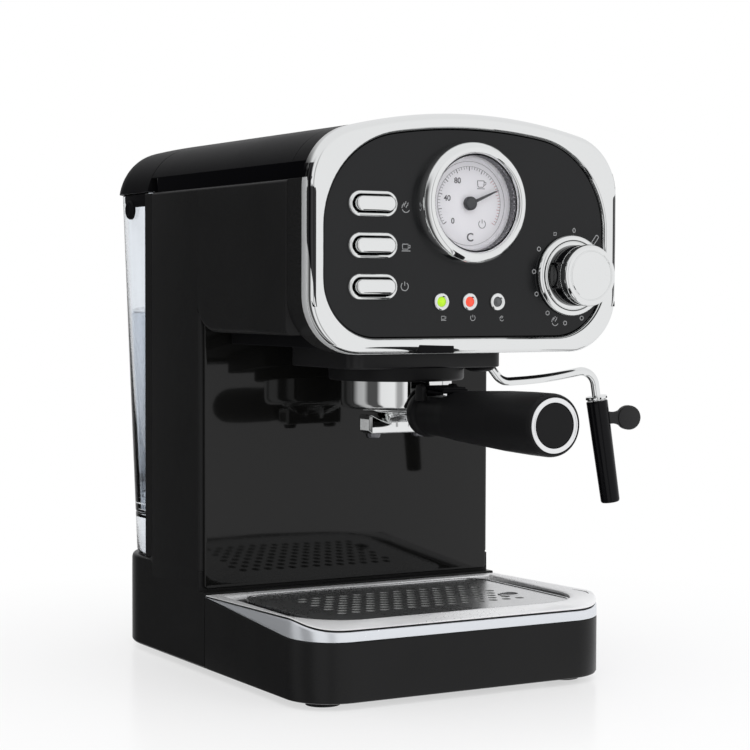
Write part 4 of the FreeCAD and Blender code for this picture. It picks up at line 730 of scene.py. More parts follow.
rings = [tank_ring(78.0, 5.0), tank_ring(77.5, 2.6), tank_ring(57.0, 2.4), tank_ring(56.4, 1.8),
    tank_ring(56.9, 0.6), tank_ring(58.0, 0.0), tank_ring(79.5, 0), tank_ring(79.8, 0.35),
    tank_ring(80.6, 0.35), tank_ring(80.9, 0), tank_ring(264.0, 0), tank_ring(268.6, 0),
    tank_ring(269.3, 0.6), tank_ring(269.3, 1.7), tank_ring(268.8, 2.2), tank_ring(82.6, 2.2),
    tank_ring(80.4, 3.2), tank_ring(79.9, 5.0)]
wall = make("tank_wall", *loft(rings), CLEAR, "tank", ("water_tank",))
cut_out(wall, *[stack(lambda i: rect(x - 3.4, x + 3.4, 160, 176, 0.6), [(0, 254.5), (0, 275)], "xy")
    for x in (-30, 30)])
rings = [tank_ring(80.3, 5.2), tank_ring(82.4, 2.3), tank_ring(199.0, 2.3), tank_ring(199.9, 2.9)]
make("tank_water", *loft(rings), WATER, "tank")
for side, label in SIDES:
    strip = stack(lambda i: rounded([(105.6 + i, 261.6 + i, 0.8), (133 - i, 261.6 + i, 0.8),
        (139.5 - i, 263.5, 3.0), (139.5 - i, 268.9 - i, 0.8), (105.6 + i, 268.9 - i, 0.8)], 5),
        [(0.0, side * 91.6), (0.0, side * 92.7), (0.25, side * 93.1), (0.7, side * 93.3)], "yz")
    prof = soften([(5.7, -1.6), (5.7, 0.2), (5.1, 1.1), (3.6, 1.6), (2.9, 1.25), (0.0, 1.2)], 0.4)
    peg = lathe([(r, side * d) for r, d in prof], (side * 93.2, 131.3, 260.2), "x", 40)
    make("tank_catch_" + label, *join(strip, peg), MATTE, "tank", ("tank_pins",))


# ------------------------------------------------------------------ drip tray
def tray_ring(z_of, inset, corner=None):
    """Plan outline of the tray; corner is the radius of the front corners."""
    corner = 26 - inset if corner is None else corner
    pts = rounded([(-95 + inset, -98 + inset, corner), (95 - inset, -98 + inset, corner),
        (95 - inset, 24.1 - inset, 0.6), (-95 + inset, 24.1 - inset, 0.6)], 16)
    return [(a, b, z_of(b) if callable(z_of) else z_of) for a, b in pts]


def rim_edge(b):
    """Height of the rim's outer edge: low along the front, higher along the sides."""
    t = min(1.0, max(0.0, (b + 98) / 24))
    return 41.2 + 5.0 * t * t * (3 - 2 * t) - 1.7 * max(0.0, b + 44) / 61


def band_low(b):
    """Height of the trim band's lower edge, which climbs to meet the rim at the rear."""
    t = b + 98
    return min(34.6 + 0.0286 * t + 0.00056 * t * t, rim_edge(b) - 1.2)


def lifted(share, extra=0.0):
    return lambda b: band_low(b) + (rim_edge(b) - 1.05 - band_low(b)) * share + extra


def rim_slope(share, extra=0.0):
    return lambda b: rim_edge(b) + (44.4 - rim_edge(b)) * share + extra


def corner_ring(z_of, inset):
    """Plan outline of the rim's inner edge, with wide front corners."""
    return tray_ring(z_of, inset, 26 + (inset - 0.3) * 1.1)


rings = [tray_ring(3.3, 1.6), tray_ring(3.7, 0.7), tray_ring(4.9, 0.0), tray_ring(20, 0.0),
    tray_ring(lifted(0, -0.5), 0.0), tray_ring(lifted(0, -0.15), 0.25), tray_ring(lifted(0, -0.1), 1.9),
    tray_ring(lifted(1, -1.2), 2.1), tray_ring(lifted(1, -0.6), 3.0), tray_ring(40.2, 17.6),
    tray_ring(39.6, 18.0), tray_ring(11.5, 18.4), tray_ring(11.0, 19.0)]
make("tray_skin", *loft(rings), SATIN, "drip_tray", ("tray_housing",), slot="black_plastic")
rings = [tray_ring(lifted(0, 0.15), 1.85), tray_ring(lifted(0, 0.15), 0.45), tray_ring(lifted(0, 0.35),
    0.1), tray_ring(lifted(0.1, 0.4), 0.0), tray_ring(lifted(0.75), 0.1), tray_ring(lifted(0.93), 0.5),
    tray_ring(lifted(1.0, -0.05), 1.1), tray_ring(lifted(1.0), 1.85)]
make("trim_band_skin", *loft(rings, path_closed=True), BAND, "drip_tray", ("tray_trim_band",))

rings = [tray_ring(lifted(1, -0.2), 0.75), tray_ring(lifted(1, 0.8), 0.75), tray_ring(lifted(1, 0.8), 3.2),
    tray_ring(lifted(1, -0.2), 3.2)]
make("rim_gasket", *loft(rings, path_closed=True), RUBBER, "drip_tray")
rings = [corner_ring(rim_slope(0, -0.3), 1.6), corner_ring(rim_slope(0, -0.3), 0.5),
    corner_ring(rim_slope(0, -0.1), 0.3), corner_ring(rim_slope(0, 0.1), 0.45),
    corner_ring(rim_slope(0.12, 0.2), 1.2), corner_ring(rim_slope(0.5, 0.3), 4.0),
    corner_ring(rim_slope(0.85, 0.15), 6.6), corner_ring(rim_slope(1.0, 0.05), 7.6),
    corner_ring(rim_slope(1.0, -0.4), 8.1), corner_ring(41.6, 8.3), corner_ring(41.2, 8.0),
    corner_ring(41.2, 6.0), corner_ring(rim_slope(0.5, -0.9), 4.0), corner_ring(rim_slope(0.1, -0.7), 1.9)]
make("tray_rim_skin", *loft(rings, path_closed=True), RIM, "drip_tray", ("tray_rim",))
holes_in = rect(-76, 76, -84.3, 12, 20, 10)
make("grid_seat", *plate(rect(-84.9, 84.9, -87.9, 21, 32, 10), [holes_in], "xy", 41.2, 42.2), MATTE,
    "drip_tray")

FINGER_X, FINGER_Y, FINGER_R = 58, -48, 5.0
holes = []
punched = []
for row in range(8):
    odd = row % 2
    for col in range(14 - odd):
        hx = (col - 6.5 + 0.5 * odd) * 8.6
        hy = -35.8 + (row - 3.5) * 8.6 * 0.866
        if math.hypot(hx - FINGER_X, hy - FINGER_Y) > 9:
            holes.append(circle(2.6, 20, hx, hy))
            punched.append(lathe([(2.65, 43.5), (2.55, 43.44), (2.45, 43.25), (2.1, 42.4), (1.9, 42.3)],
                (hx, hy, 0), "z", 20))
holes.append(circle(FINGER_R, 40, FINGER_X, FINGER_Y))
# The hole walls carry the painted shade material, so the holes read dark.
make("grid_hole_edges", *join(*punched), HOLE_SHADE, "grid")
outer_edge = rect(-79, 79, -87, 15.4, 14, 10)
make("drip_grid_plate", *plate(outer_edge, holes, "xy", 42.35, 43.5), GRID, "grid", ("drip_grid",))
rings = [[(a, b, z) for a, b in rect(-79 + i, 79 - i, -87 + i, 15.4 - i, 14 - i, 10)] for z,
    i in ((43.4, 0.0), (43.9, 0.25), (44.05, 0.8), (43.9, 1.4), (43.4, 1.8))]
make("grid_bead", *loft(rings, (False, False)), GRID, "grid")
prof = [(FINGER_R + r, z) for r, z in ((1.1, 43.4), (0.9, 43.9), (0.3, 44.0), (-0.05, 43.7), (-0.1, 42.3))]
make("finger_hole_bead", *lathe(prof, (FINGER_X, FINGER_Y, 0), "z", 40), GRID, "grid")
rings = [[(a, b, z) for a, b in rect(-73.4 + i, 73.4 - i, -81.4 + i, 9.8 - i, 10, 8)] for z,
    i in ((42.4, 0.0), (36.6, 0.0), (36.3, 0.6), (36.6, 1.2), (42.4, 1.2))]
make("grid_lip", *loft(rings, (False, False)), STEEL, "grid")

# ------------------------------------------------------------------ bezel and panel
steps = [(0.12, -89.7), (0.12, -90.2), (0.12, -93.6), (0.35, -94.9), (0.9, -96.0), (1.6, -96.9),
    (2.4, -97.5), (3.2, -97.85), (4.2, -98.0)]
rings = [[(a, y, b) for a, b in face(i)] for i, y in steps]
rings += [[(a, y, b) for a, b in opening(i)] for i, y in ((-2.4, -98.0), (-1.7, -97.85), (-1.2, -97.5),
    (-0.6, -96.6), (0.0, -95.3), (0.0, -89.7))]
make("bezel_ring", *loft(rings, path_closed=True), CHROME, "machine", ("front_bezel",))
verts, faces = stack(lambda i: rounded([(-31.6 + i, 180.5 + i, 0.4), (-9.9 - i, 180.5 + i, 0.4),
    (-9.9 - i, 184.6 - i, 0.4), (-31.6 + i, 185.3 - i, 0.4)], 3), edges(-98.0, -94, 0.4, 3, 0.1), "xz")
make("bezel_inlay", verts, faces, MATTE, "machine", ("bezel_tab",), slot="gloss_black")

BUTTONS = (("steam_button", 256.6), ("brew_button", 235.5), ("power_button", 214.6))
holes = [[(a - 57.5, b + z) for a, b in pill(26.6, 11.4)] for _, z in BUTTONS]
holes.append(circle(27.0, 64, 0, DIAL_Z))
holes += [circle(4.0, 32, x, LAMP_Z) for x in (-16.5, 0.8, 18.1)]
make("panel_plate", *plate(opening(0.3), holes, "xz", -95.5, -93.0), GRAPHITE, "machine",
    ("control_panel",))
make("panel_back", *plate(opening(0.3), holes, "xz", -93.2, -92.6), MATTE, "machine")

for name, z in BUTTONS:
    prof = [(-2.1, -93.2), (-2.1, -95.5), (-2.0, -96.4), (-1.6, -97.1), (-1.1, -97.5), (-0.6, -97.6),
        (-0.2, -97.4), (0.05, -96.9), (0.15, -96.0), (0.2, -93.2)]
    verts, faces = stack(lambda i: pill(24.6, 9.4, i), [(i, y) for i, y in prof], "xz", (False, False),
        shift=(-57.5, z))
    make(name + "_surround", verts, faces, CHROME, "machine", ("button_surrounds",))
    prof = [(0.6, -92.9), (0.6, -99.3), (0.7, -99.8), (0.95, -100.2), (1.35, -100.45), (1.9, -100.6),
        (2.7, -100.7), (3.6, -100.75)]
    verts, faces = stack(lambda i: pill(24.0, 8.8, i), prof, "xz", shift=(-57.5, z))
    make(name + "_cap", verts, faces, CHROME, name, (name,))

# ------------------------------------------------------------------ lamps
for name, x, mat, slot in (("led_ready", -16.5, GREEN, "green_lens"), ("led_power", 0.8, RED, "red_lens"),
        ("led_steam", 18.1, LENS, "clear_lens")):
    prof = soften([(2.35, 0.4), (2.35, -0.7), (3.0, -1.35), (3.9, -1.5), (4.6, -0.9), (4.6, 0.0)], 0.35)
    make(name + "_ring", *lathe(prof, (x, PANEL_Y, LAMP_Z), "y", 40), CHROME, "machine", ("led_rings",))
    rings = []
    for r, y in ((2.3, 0.4), (2.3, -0.45), (1.7, -0.6), (1.15, -1.15), (0.6, -1.35)):
        ring = []
        for i in range(32):
            a = 2 * math.pi * i / 32
            facet = 1 + 0.1 * math.cos(6 * a) if r < 2.0 and y < -0.5 else 1
            ring.append((x + r * facet * math.cos(a), PANEL_Y + y, LAMP_Z + r * facet * math.sin(a)))
        rings.append(ring)
    make(name + "_lens", *loft(rings, (False, True)), mat, "machine", (name,), slot=slot)

# ------------------------------------------------------------------ gauge
gauge = (0, PANEL_Y, DIAL_Z)
prof = soften([(25.0, 1.0), (25.0, -7.2), (25.9, -9.7), (27.4, -10.5), (29.0, -10.1), (31.2, -7.6),
    (32.2, -3.6), (32.2, 0.0)], 1.4, 5)
make("gauge_ring", *lathe(prof, gauge, "y", 96), CHROME, "machine", ("gauge_bezel",))
rings = []
for y in (-7.6, -6.9, -1.0, 0.9):
    ring = []
    for i in range(288):
        r = 24.7 - (0.32 if i % 4 < 2 and -7 < y < 0 else 0.0)
        a = 2 * math.pi * i / 288
        ring.append((r * math.cos(a), PANEL_Y + y, DIAL_Z + r * math.sin(a)))
    rings.append(ring)
make("gauge_wall", *loft(rings, (False, False)), DARK_STEEL, "machine", (), smooth=20)
prof = soften([(24.9, 1.9), (24.9, -0.2), (23.2, -0.25), (22.6, 0.9), (0.0, 1.0)], 0.3)
make("gauge_face", *lathe(prof, gauge, "y", 96), DIAL, "machine", ("gauge_dial",))
prof = [(24.6, -5.7), (24.6, -6.3), (22, -6.75), (12, -6.95), (0, -7.0)]
make("gauge_cover", *lathe(prof, gauge, "y", 72), GLASS, "machine", ("gauge_glass",))


def polar(r, degrees):
    """Point on the dial, degrees clockwise from the top."""
    a = math.radians(degrees)
    return (r * math.sin(a), DIAL_Z + r * math.cos(a))


ticks, long_ticks, red_ticks = [], [], []
for k in range(51):
    a = -125 + 5 * k
    line = [polar(17.6 if k % 5 else 16.9, a), polar(18.9, a)]
    (red_ticks if k > 34 else long_ticks if k % 5 == 0 else ticks).append(line)
Y0, Y1 = -94.58, -94.74
make("dial_ticks", *strokes(ticks, 0.16, Y0, Y1), DIAL_INK, "machine")
make("dial_marks", *strokes(long_ticks, 0.34, Y0, Y1), DIAL_INK, "machine")
make("dial_red_marks", *strokes(red_ticks, 0.3, Y0, Y1), DIAL_RED, "machine")
make("dial_arcs", *strokes([[polar(19.1, a) for a in range(-125, 126, 5)], [polar(21.6, a)
    for a in range(-180, 181, 5)]], 0.12, Y0, Y1), DIAL_INK, "machine")


def lettering(name, text, size, x, z, y, mat, body, slot, weight=0.0):
    """Generic dial figures as a flat mesh, centred on (x, z)."""
    curve = bpy.data.curves.new(name, "FONT")
    curve.body = text
    curve.size = size
    curve.align_x = "CENTER"
    curve.align_y = "CENTER"
    curve.offset = weight
    curve.extrude = 0.04
    temp = bpy.data.objects.new(name + "_temp", curve)
    bpy.context.scene.collection.objects.link(temp)
    bpy.context.view_layer.update()
    flat = bpy.data.meshes.new_from_object(temp)
    bpy.data.objects.remove(temp)
    bpy.data.curves.remove(curve)
    verts = [(v.co.x + x, y - v.co.z, v.co.y + z) for v in flat.vertices]
    faces = [tuple(p.vertices) for p in flat.polygons]
    bpy.data.meshes.remove(flat)
    return make(name, verts, faces, mat, body, (), slot=slot)


for name, text, a in (("figure_0", "0", -133), ("figure_40", "40", -80), ("figure_80", "80", -32)):
    x, z = polar(13.6, a)
    lettering(name, text, 4.1, x, z, -94.66, DIAL_INK, "machine", "dial", 0.06)
lettering("figure_unit", "C", 6.0, 0.6, DIAL_Z - 17.6, -94.66, DIAL_INK, "machine", "dial", 0.1)

cx, cz = polar(12.6, 36)
cup = [[(cx - 2.4, cz + 1.7), (cx - 2.2, cz - 1.0), (cx - 1.6, cz - 1.6), (cx + 0.9, cz - 1.6),
    (cx + 1.5, cz - 1.0), (cx + 1.7, cz + 1.7)], [(cx - 2.4, cz + 1.7), (cx + 1.7, cz + 1.7)],
    [(cx + 1.7, cz + 1.0), (cx + 2.8, cz + 0.9), (cx + 2.7, cz - 0.3), (cx + 1.6, cz - 0.5)],
    [(cx - 2.6, cz - 2.4), (cx + 2.0, cz - 2.4)]]
make("dial_cup_mark", *strokes(cup, 0.3, Y0, Y1), DIAL_INK, "machine")
cx, cz = polar(13.2, 143)
mark = [[(cx + 2.1 * math.sin(math.radians(a)), cz + 2.1 * math.cos(math.radians(a)))
    for a in range(35, 326, 15)], [(cx, cz + 2.4), (cx, cz + 0.4)]]
make("dial_power_mark", *strokes(mark, 0.3, Y0, Y1), DIAL_INK, "machine")

a = math.radians(67)
ux, uz = math.sin(a), math.cos(a)
outline = [(-3.0, -0.6), (-3.2, 0.0), (-3.0, 0.6), (2.0, 0.85), (12.0, 0.55), (16.0, 0.36), (18.6, 0.0),
    (16.0, -0.36), (12.0, -0.55), (2.0, -0.85)]
turned = [(s * ux - t * uz, DIAL_Z + s * uz + t * ux) for s, t in outline]
verts, faces = flat_prism(turned, -97.4, -96.7)
hub = soften([(3.55, 0.9), (3.55, -1.9), (2.6, -2.6), (0.0, -2.75)], 0.5)
make("needle_piece", *join((verts, faces), lathe(hub, gauge, "y", 40)), NEEDLE, "needle", ("gauge_needle",))

# ------------------------------------------------------------------ panel prints
marks = [circle(1.05, 20, x, z) for x, z in ((44.5, 235.0), (41.4, 223.0), (43.1, 211.1), (50.3, 201.0),
    (61.7, 195.6), (72.6, 198.2))]
marks.append([(54.1, 243.9), (55.6, 243.9), (55.6, 242.4), (54.1, 242.4)])
marks.append([(67.2 + 0.8 * a, 245.2 + 1.1 * b) for a, b in circle(1.0, 12)])
tilt = math.radians(52)
marks.append([(81.1 + a * math.cos(tilt) - b * math.sin(tilt), 240.3 + a * math.sin(tilt)
    + b * math.cos(tilt)) for a, b in pill(5.8, 2.0, 0.0, 5)])
make("panel_marks", *strokes(marks, 0.5, *PRINT_Y, range(len(marks))), PRINT, "machine")


def steam_sign(x, z, s):
    lines = [[(x + s * (-0.1 + 1.5 * math.sin(math.radians(a_))), z + s * (-0.5
        - 1.6 * math.cos(math.radians(a_)))) for a_ in range(-70, 61, 13)]]
    for k in (-1, 0, 1):
        lines.append([(x + s * (0.85 * k - 0.5 + 0.5 * t + 0.16 * math.sin(5 * t + k)),
            z + s * (0.7 + 0.85 * t - 0.45 * k * k)) for t in (-1, -0.66, -0.33, 0, 0.33, 0.66, 1)])
    return lines


def cup_sign(x, z, s):
    return [[(x - 1.9 * s, z + 1.3 * s), (x - 1.9 * s, z - 0.9 * s), (x + 1.0 * s, z - 0.9 * s),
        (x + 1.0 * s, z + 1.3 * s), (x - 1.9 * s, z + 1.3 * s)], [(x + 1.0 * s, z + 0.8 * s),
        (x + 2.0 * s, z + 0.8 * s), (x + 2.0 * s, z - 0.3 * s), (x + 1.0 * s, z - 0.3 * s)],
        [(x - 2.3 * s, z - 1.7 * s), (x + 2.2 * s, z - 1.7 * s)]]


def power_sign(x, z, s):
    return [[(x + 1.8 * s * math.sin(math.radians(a_)), z + 1.8 * s * math.cos(math.radians(a_)))
        for a_ in range(35, 326, 15)], [(x, z + 2.1 * s), (x, z + 0.3 * s)]]


signs = (("steam", steam_sign(-37.6, 255.8, 1.55)), ("cup", cup_sign(-37.6, 234.9, 1.15)),
    ("power", power_sign(-38.4, 214.8, 1.2)), ("cup_small", cup_sign(-14.9, 198.6, 0.7)),
    ("power_small", power_sign(3.0, 198.6, 0.8)), ("steam_small", steam_sign(21.2, 198.6, 0.8)),
    ("steam_knob", steam_sign(55.4, 197.2, 1.4)))
for name, lines in signs:
    make("sign_" + name, *strokes(lines, 0.36 if "small" in name else 0.46, *PRINT_Y), PRINT, "machine")

# ------------------------------------------------------------------ steam knob
knob = (KNOB_X, PANEL_Y, KNOB_Z)
prof = [(10.0, -0.3), (21.3, -0.3), (21.8, -0.8), (21.8, -1.6), (21.2, -2.6), (20.2, -3.3), (19.2, -3.5),
    (18.5, -3.2), (18.2, -2.8), (17.9, -3.1), (17.2, -3.5), (16.2, -3.55), (15.5, -3.2), (15.1, -2.7),
    (10.0, -2.7)]
make("knob_base_ring", *lathe(soften(prof, 0.25, 3), knob, "y", 96), CHROME, "steam_knob", ("knob_ring",))


def grip_outline(inset):
    """Circle of radius 16.2 with two round bites, one each side."""
    out = []
    for i in range(144):
        a_ = 2 * math.pi * i / 144
        r = 16.2
        c = abs(math.cos(a_))
        disc = BITE_R ** 2 - BITE_X ** 2 * (1 - c * c)
        if disc > 0:
            r = min(r, BITE_X * c - math.sqrt(disc))
        out.append(((r - inset) * math.cos(a_), (r - inset) * math.sin(a_)))
    return out


prof = [(0.4, -2.6), (0.0, -3.0), (0.0, -12.4), (0.3, -12.9), (0.8, -13.1)]
verts, faces = stack(grip_outline, [(i, PANEL_Y + y) for i, y in prof], "xz", shift=(KNOB_X, KNOB_Z))
make("knob_body", verts, faces, GLOSS, "steam_knob", ("knob_grip",), slot="black_plastic")
for side, label in SIDES:
    verts, faces = [], []
    rows, cols = 24, 8
    for i in range(rows + 1):
        t = -1 + 2 * i / rows
        ang = t * 0.56
        depth = 6.4 * (1 - abs(t) ** 2.2)
        for j in range(cols + 1):
            s = j / cols
            bulge = 0.22 + 0.12 * math.cos(math.pi * (s - 0.5)) - 0.14 * (1
                if 0 < j < cols and 0 < i < rows else 0)
            verts.append((KNOB_X + side * (BITE_X - (BITE_R + bulge) * math.cos(ang)),
                PANEL_Y - 3.1 - depth * s, KNOB_Z + (BITE_R + bulge) * math.sin(ang)))
    for i in range(rows):
        for j in range(cols):
            k = i * (cols + 1) + j
            faces.append((k, k + 1, k + cols + 2, k + cols + 1))
    make("knob_lens_" + label, verts, faces, CHROME, "steam_knob")
prof = [(9.0, -12.8), (15.7, -12.8), (16.2, -13.2), (16.3, -14.0), (16.3, -17.0), (16.0, -18.2),
    (15.2, -19.0), (14.2, -19.35), (13.4, -19.25), (13.1, -18.9), (12.8, -18.95), (12.4, -19.4),
    (6.0, -19.85), (0.0, -19.95)]
make("knob_front_cap", *lathe(soften(prof, 0.3, 3), knob, "y", 96), CHROME, "steam_knob", ("knob_cap",))
rings = []
for a, b in circle(1.0, 24):
    rings.append([(KNOB_X - (BITE_X - BITE_R - o), PANEL_Y - 10.4 + r * a, KNOB_Z - 1.6 + r * b) for r,
        o in ((0.75, 0.0), (1.05, 0.12), (1.05, 0.0))])
make("knob_dot", *loft(rings, path_closed=True), PRINT, "steam_knob", slot="chrome")

# ------------------------------------------------------------------ group
verts, faces = stack(lambda i: rect(-48 + i, 48 - i, -58 + i, 16 - i, 8 - i), edges(171.0, 184.0, 1.0),
    "xy")
make("collar_block", verts, faces, COLLAR, "machine", ("group_collar",))
verts, faces = stack(lambda i: rect(-78 + i, 78 - i, -69.8 + i, 28 - i, 4 - i), edges(183.0, 189.5, 0.8),
    "xy")
make("head_floor", verts, faces, MATTE, "machine", ("group_collar",))
ring_at = (0, GROUP_Y, 0)
prof = soften([(34.2, 171.2), (34.2, 164.2), (34.8, 163.8), (36.6, 163.8), (37.5, 164.8), (37.5, 171.2)],
    0.5)
make("bayonet_skin", *lathe(prof, ring_at, "z", 96), GRIP, "machine", ("bayonet_ring",), slot="aluminium")

prof = [(29.2, 168.5), (31.0, 168.5), (31.2, 168.0), (31.2, 166.4), (30.9, 165.9), (30.9, 152.6),
    (30.7, 151.0), (30.0, 149.4), (28.8, 148.3), (27.2, 147.75), (24.0, 147.6), (9.0, 147.6), (9.0, 149.4),
    (27.0, 149.6), (28.7, 151.6), (29.2, 156)]
make("bowl_skin", *lathe(soften(prof, 0.5, 3, True), ring_at, "z", 128, path_closed=True), CHROME,
    "portafilter", ("portafilter_bowl",), slot="chrome")
for k, side in enumerate((-1, 1)):
    verts, faces = stack(lambda i: rect(-7 + i, 7 - i, i, 3.4 - i, 1.2 - i * 0.9), edges(164.9, 167.6, 0.5),
        "xy", shift=(0, GROUP_Y + 30.4))
    spun = []
    for vx, vy, vz in verts:
        a_ = math.radians(90 * side)
        dx, dy = vx, vy - GROUP_Y
        spun.append((dx * math.cos(a_) - dy * math.sin(a_), GROUP_Y + dx * math.sin(a_) + dy * math.cos(a_),
            vz))
    make("bowl_lug_%d" % k, spun, faces, CHROME, "portafilter")

rings = []
for i in range(33):
    x = -20 + 40 * i / 32
    t = abs(x) / 20
    top = 139.4 + 6.2 * t ** 2.0
    end = max(0.0, (abs(x) - 18.5) / 1.5)
    squeeze = 1.4 * (1 - math.sqrt(max(0.0, 1 - end * end)))
    low = 134.4 + squeeze
    top -= squeeze
    half = 6.3 + 0.5 * t - squeeze
    rings.append([(x, GROUP_Y + a_, b_) for a_, b_ in rounded([(-half, low, 1.2), (half, low, 1.2),
        (half, top, 0.9), (-half, top, 0.9)], 5)])
verts, faces = loft(rings)
neck = soften([(9.0, 138.0), (9.4, 140.4), (11.4, 143.0), (15.0, 145.2), (18.6, 146.6), (19.4, 147.8),
    (0, 147.8)], 1.0, 4)
noz = []
for x in (-14.5, 14.5):
    prof = soften([(4.3, 135.0), (4.0, 133.0), (3.5, 131.8), (2.7, 131.8), (2.7, 135.0), (0, 135.0)], 0.4)
    noz.append(lathe(prof, (x, GROUP_Y, 0), "z", 32))
make("spout_skin", *join((verts, faces), lathe(neck, ring_at, "z", 64)), CHROME, "portafilter",
    ("twin_spout",))
# The outlets are drawn in dark steel, darker than the chrome spout.
make("spout_outlets", *join(*noz), DARK_STEEL, "portafilter", slot="chrome")
ridges = []
for side, label in SIDES:
    for k in range(8):
        y = GROUP_Y - 4.2 + 1.2 * k
        ridges.append(stack(lambda i: rect(y - 0.3 + i, y + 0.3 - i, 136.0 + i, 142.4 - i, 0.28 - i * 0.5),
            [(0.0, side * 19.8), (0.0, side * 20.05), (0.12, side * 20.2)], "yz"))
make("spout_ridges", *join(*ridges), CHROME, "portafilter")

# ------------------------------------------------------------------ handle
axis = (0, 0, 147)
prof = soften([(6.0, -52.5), (11.2, -52.5), (12.6, -54.2), (13.0, -57.0), (13.0, -59.6), (12.5, -60.6),
    (11.9, -61.4), (11.7, -63.0), (12.0, -74.0), (12.5, -82.0), (13.2, -89.0), (15.3, -135.0),
    (15.75, -157.0), (15.75, -172.0), (15.3, -173.9), (14.6, -174.7), (14.0, -174.7), (13.9, -172.6),
    (9.0, -172.6)], 1.2, 4)
verts, faces = lathe(prof, axis, "y", 96)
for i, (vx, vy, vz) in enumerate(verts):
    if -96 < vy < -58:
        free = min(1.0, max(0.0, (-82 - vy) / 9))
        top = 156.4 + 5.0 * free * free
        if vz > top:
            verts[i] = (vx, vy, top + (vz - top) * 0.12)
make("handle_skin", verts, faces, GRIP, "portafilter", ("handle_grip",))
prof = soften([(13.85, -172.4), (13.85, -174.6), (13.5, -175.0), (12.9, -175.0), (12.6, -174.8),
    (12.2, -174.7), (11.8, -174.95), (11.4, -174.9), (11.2, -174.6), (11.2, -172.4)], 0.2)
make("handle_ring_skin", *lathe(prof, axis, "y", 96), SOFT_CHROME, "portafilter", ("handle_end_ring",))
prof = soften([(11.15, -172.4), (11.1, -174.3), (10.6, -174.6), (6.0, -174.5), (0.0, -174.45)], 0.3)
make("handle_cap_skin", *lathe(prof, axis, "y", 72), GRIP, "portafilter", ("handle_end_cap",))
ears = []
for x in (-10.0, 10.0):
    ears.append(stack(lambda i: rounded([(-69.5 + i, 154 + i, 0.5), (-60.5 - i, 154 + i, 0.5),
        (-61.8 - i, 162.9 - i, 2.2), (-68.0 + i, 162.9 - i, 2.2)], 5), edges(x - 1.3, x + 1.3, 0.4, 3),
        "yz"))
make("clip_ears", *join(*ears), GRIP, "portafilter")
prof = edges(-7.9, 7.9, 0.6, 3)
pad = stack(lambda i: rounded([(-84.0 + i, 158.6 + i, 0.9), (-70.0, 158.2 + i, 0.8),
    (-62.8 - i, 159.2 + i, 1.4), (-62.8 - i, 162.6 - i, 1.4), (-70.0, 161.0 - i, 0.8),
    (-84.0 + i, 160.8 - i, 0.9)], 5), prof, "yz")
ribs = []
for k in range(4):
    y = -82.4 + 3.0 * k
    ribs.append(stack(lambda i: rounded([(y - 0.8 + i, 160.2, 0.2), (y + 0.8 - i, 160.2, 0.2),
        (y + 0.5 - i, 161.9 - i, 0.35), (y - 0.5 + i, 161.9 - i, 0.35)], 3), edges(-6.9, 6.9, 0.3, 2),
        "yz"))
make("clip_pad", *join(pad, *ribs), MATTE, "clip", ("basket_clip",))

# ------------------------------------------------------------------ steam wand
WD = math.radians(-14.04)


def on_wand(s, z, aside=0.0):
    return (38 + s * math.cos(WD) - aside * math.sin(WD), -48 + s * math.sin(WD) + aside * math.cos(WD), z)


def wand_s(z):
    return 67 + 0.1517 * (168.3 - z)


lead = bent([on_wand(1.5, 177), on_wand(13.0, 162.6), on_wand(67, 168.8), on_wand(wand_s(100), 100)], 8.5,
    14)
path = []
for i, p in enumerate(lead):
    s = (p - Vector(on_wand(0, 0))).xy.length
    sag = 0.0 if i == 0 or s > 60 or p.z < 160 else -0.9 * math.sin(math.pi * min(1, max(0, (s - 8) / 52)))
    path.append(p + Vector((0, 0, sag)))
extra = []
for i, p in enumerate(path[:-1]):
    q = path[i + 1]
    extra.append(p)
    if (q - p).length > 20 and p.z > 160 and q.z > 160:
        for k in range(1, 12):
            t = k / 12
            m = p.lerp(q, t)
            extra.append(m + Vector((0, 0, -0.9 * math.sin(math.pi * t))))
path = extra + [path[-1]]
make("wand_skin", *tube(path, 2.4, 28), CHROME, "wand", ("steam_wand_tube",))
prof = soften([(0.0, 168.4), (4.5, 168.4), (7.6, 169.4), (8.6, 170.95), (0.0, 170.95)], 0.8)
make("wand_swivel", *lathe(prof, (38, -48, 0), "z", 48), MATTE, "wand", slot="brass")
SLEEVE_TOP = 151.5
SLEEVE_END = 94.2
UP = Vector((0, 0, 1))


def along(z):
    """Point on the wand's lower run at a height."""
    return Vector(on_wand(wand_s(z), z))


slope = (along(SLEEVE_END) - along(SLEEVE_TOP)).normalized()
across = (Vector(on_wand(0, 0, 1)) - Vector(on_wand(0, 0))).normalized()
other = slope.cross(across).normalized()


def sleeve_lathe(profile, n=48):
    """Round skin about the wand's lower run, measured down from the sleeve's top."""
    rings = []
    for r, d in profile:
        c = along(SLEEVE_TOP) + slope * d
        rings.append([tuple(c + across * a + other * b) for a, b in circle(max(r, 0.001), n)])
    return loft(rings, (False, False))


prof = soften([(2.45, -2.5), (5.6, -2.6), (6.05, -2.2), (6.05, -0.9), (5.4, -0.7), (5.4, -0.25),
    (2.6, -0.2)], 0.25)
make("wand_collar", *sleeve_lathe(prof), CHROME, "wand")
nubs = []
for a, b in circle(5.9, 8):
    c = along(SLEEVE_TOP) + slope * -1.5 + across * a + other * b
    nubs.append(tube([c + slope * -0.5, c + slope * -0.35, c + slope * 0.35, c + slope * 0.5],
        [0.35, 0.55, 0.55, 0.35], 10))
make("wand_collar_nubs", *join(*nubs), MATTE, "wand")
length = (along(SLEEVE_END) - along(SLEEVE_TOP)).length
prof = soften([(2.7, 0.3), (5.5, 0.0), (6.05, 0.5), (6.0, 4.0), (5.35, length - 1.0), (4.9, length - 0.1),
    (3.4, length), (1.8, length - 0.4), (1.6, length - 5)], 0.6, 4)
make("sleeve_skin", *sleeve_lathe(prof), SLEEVE, "sleeve", ("frother_sleeve",))
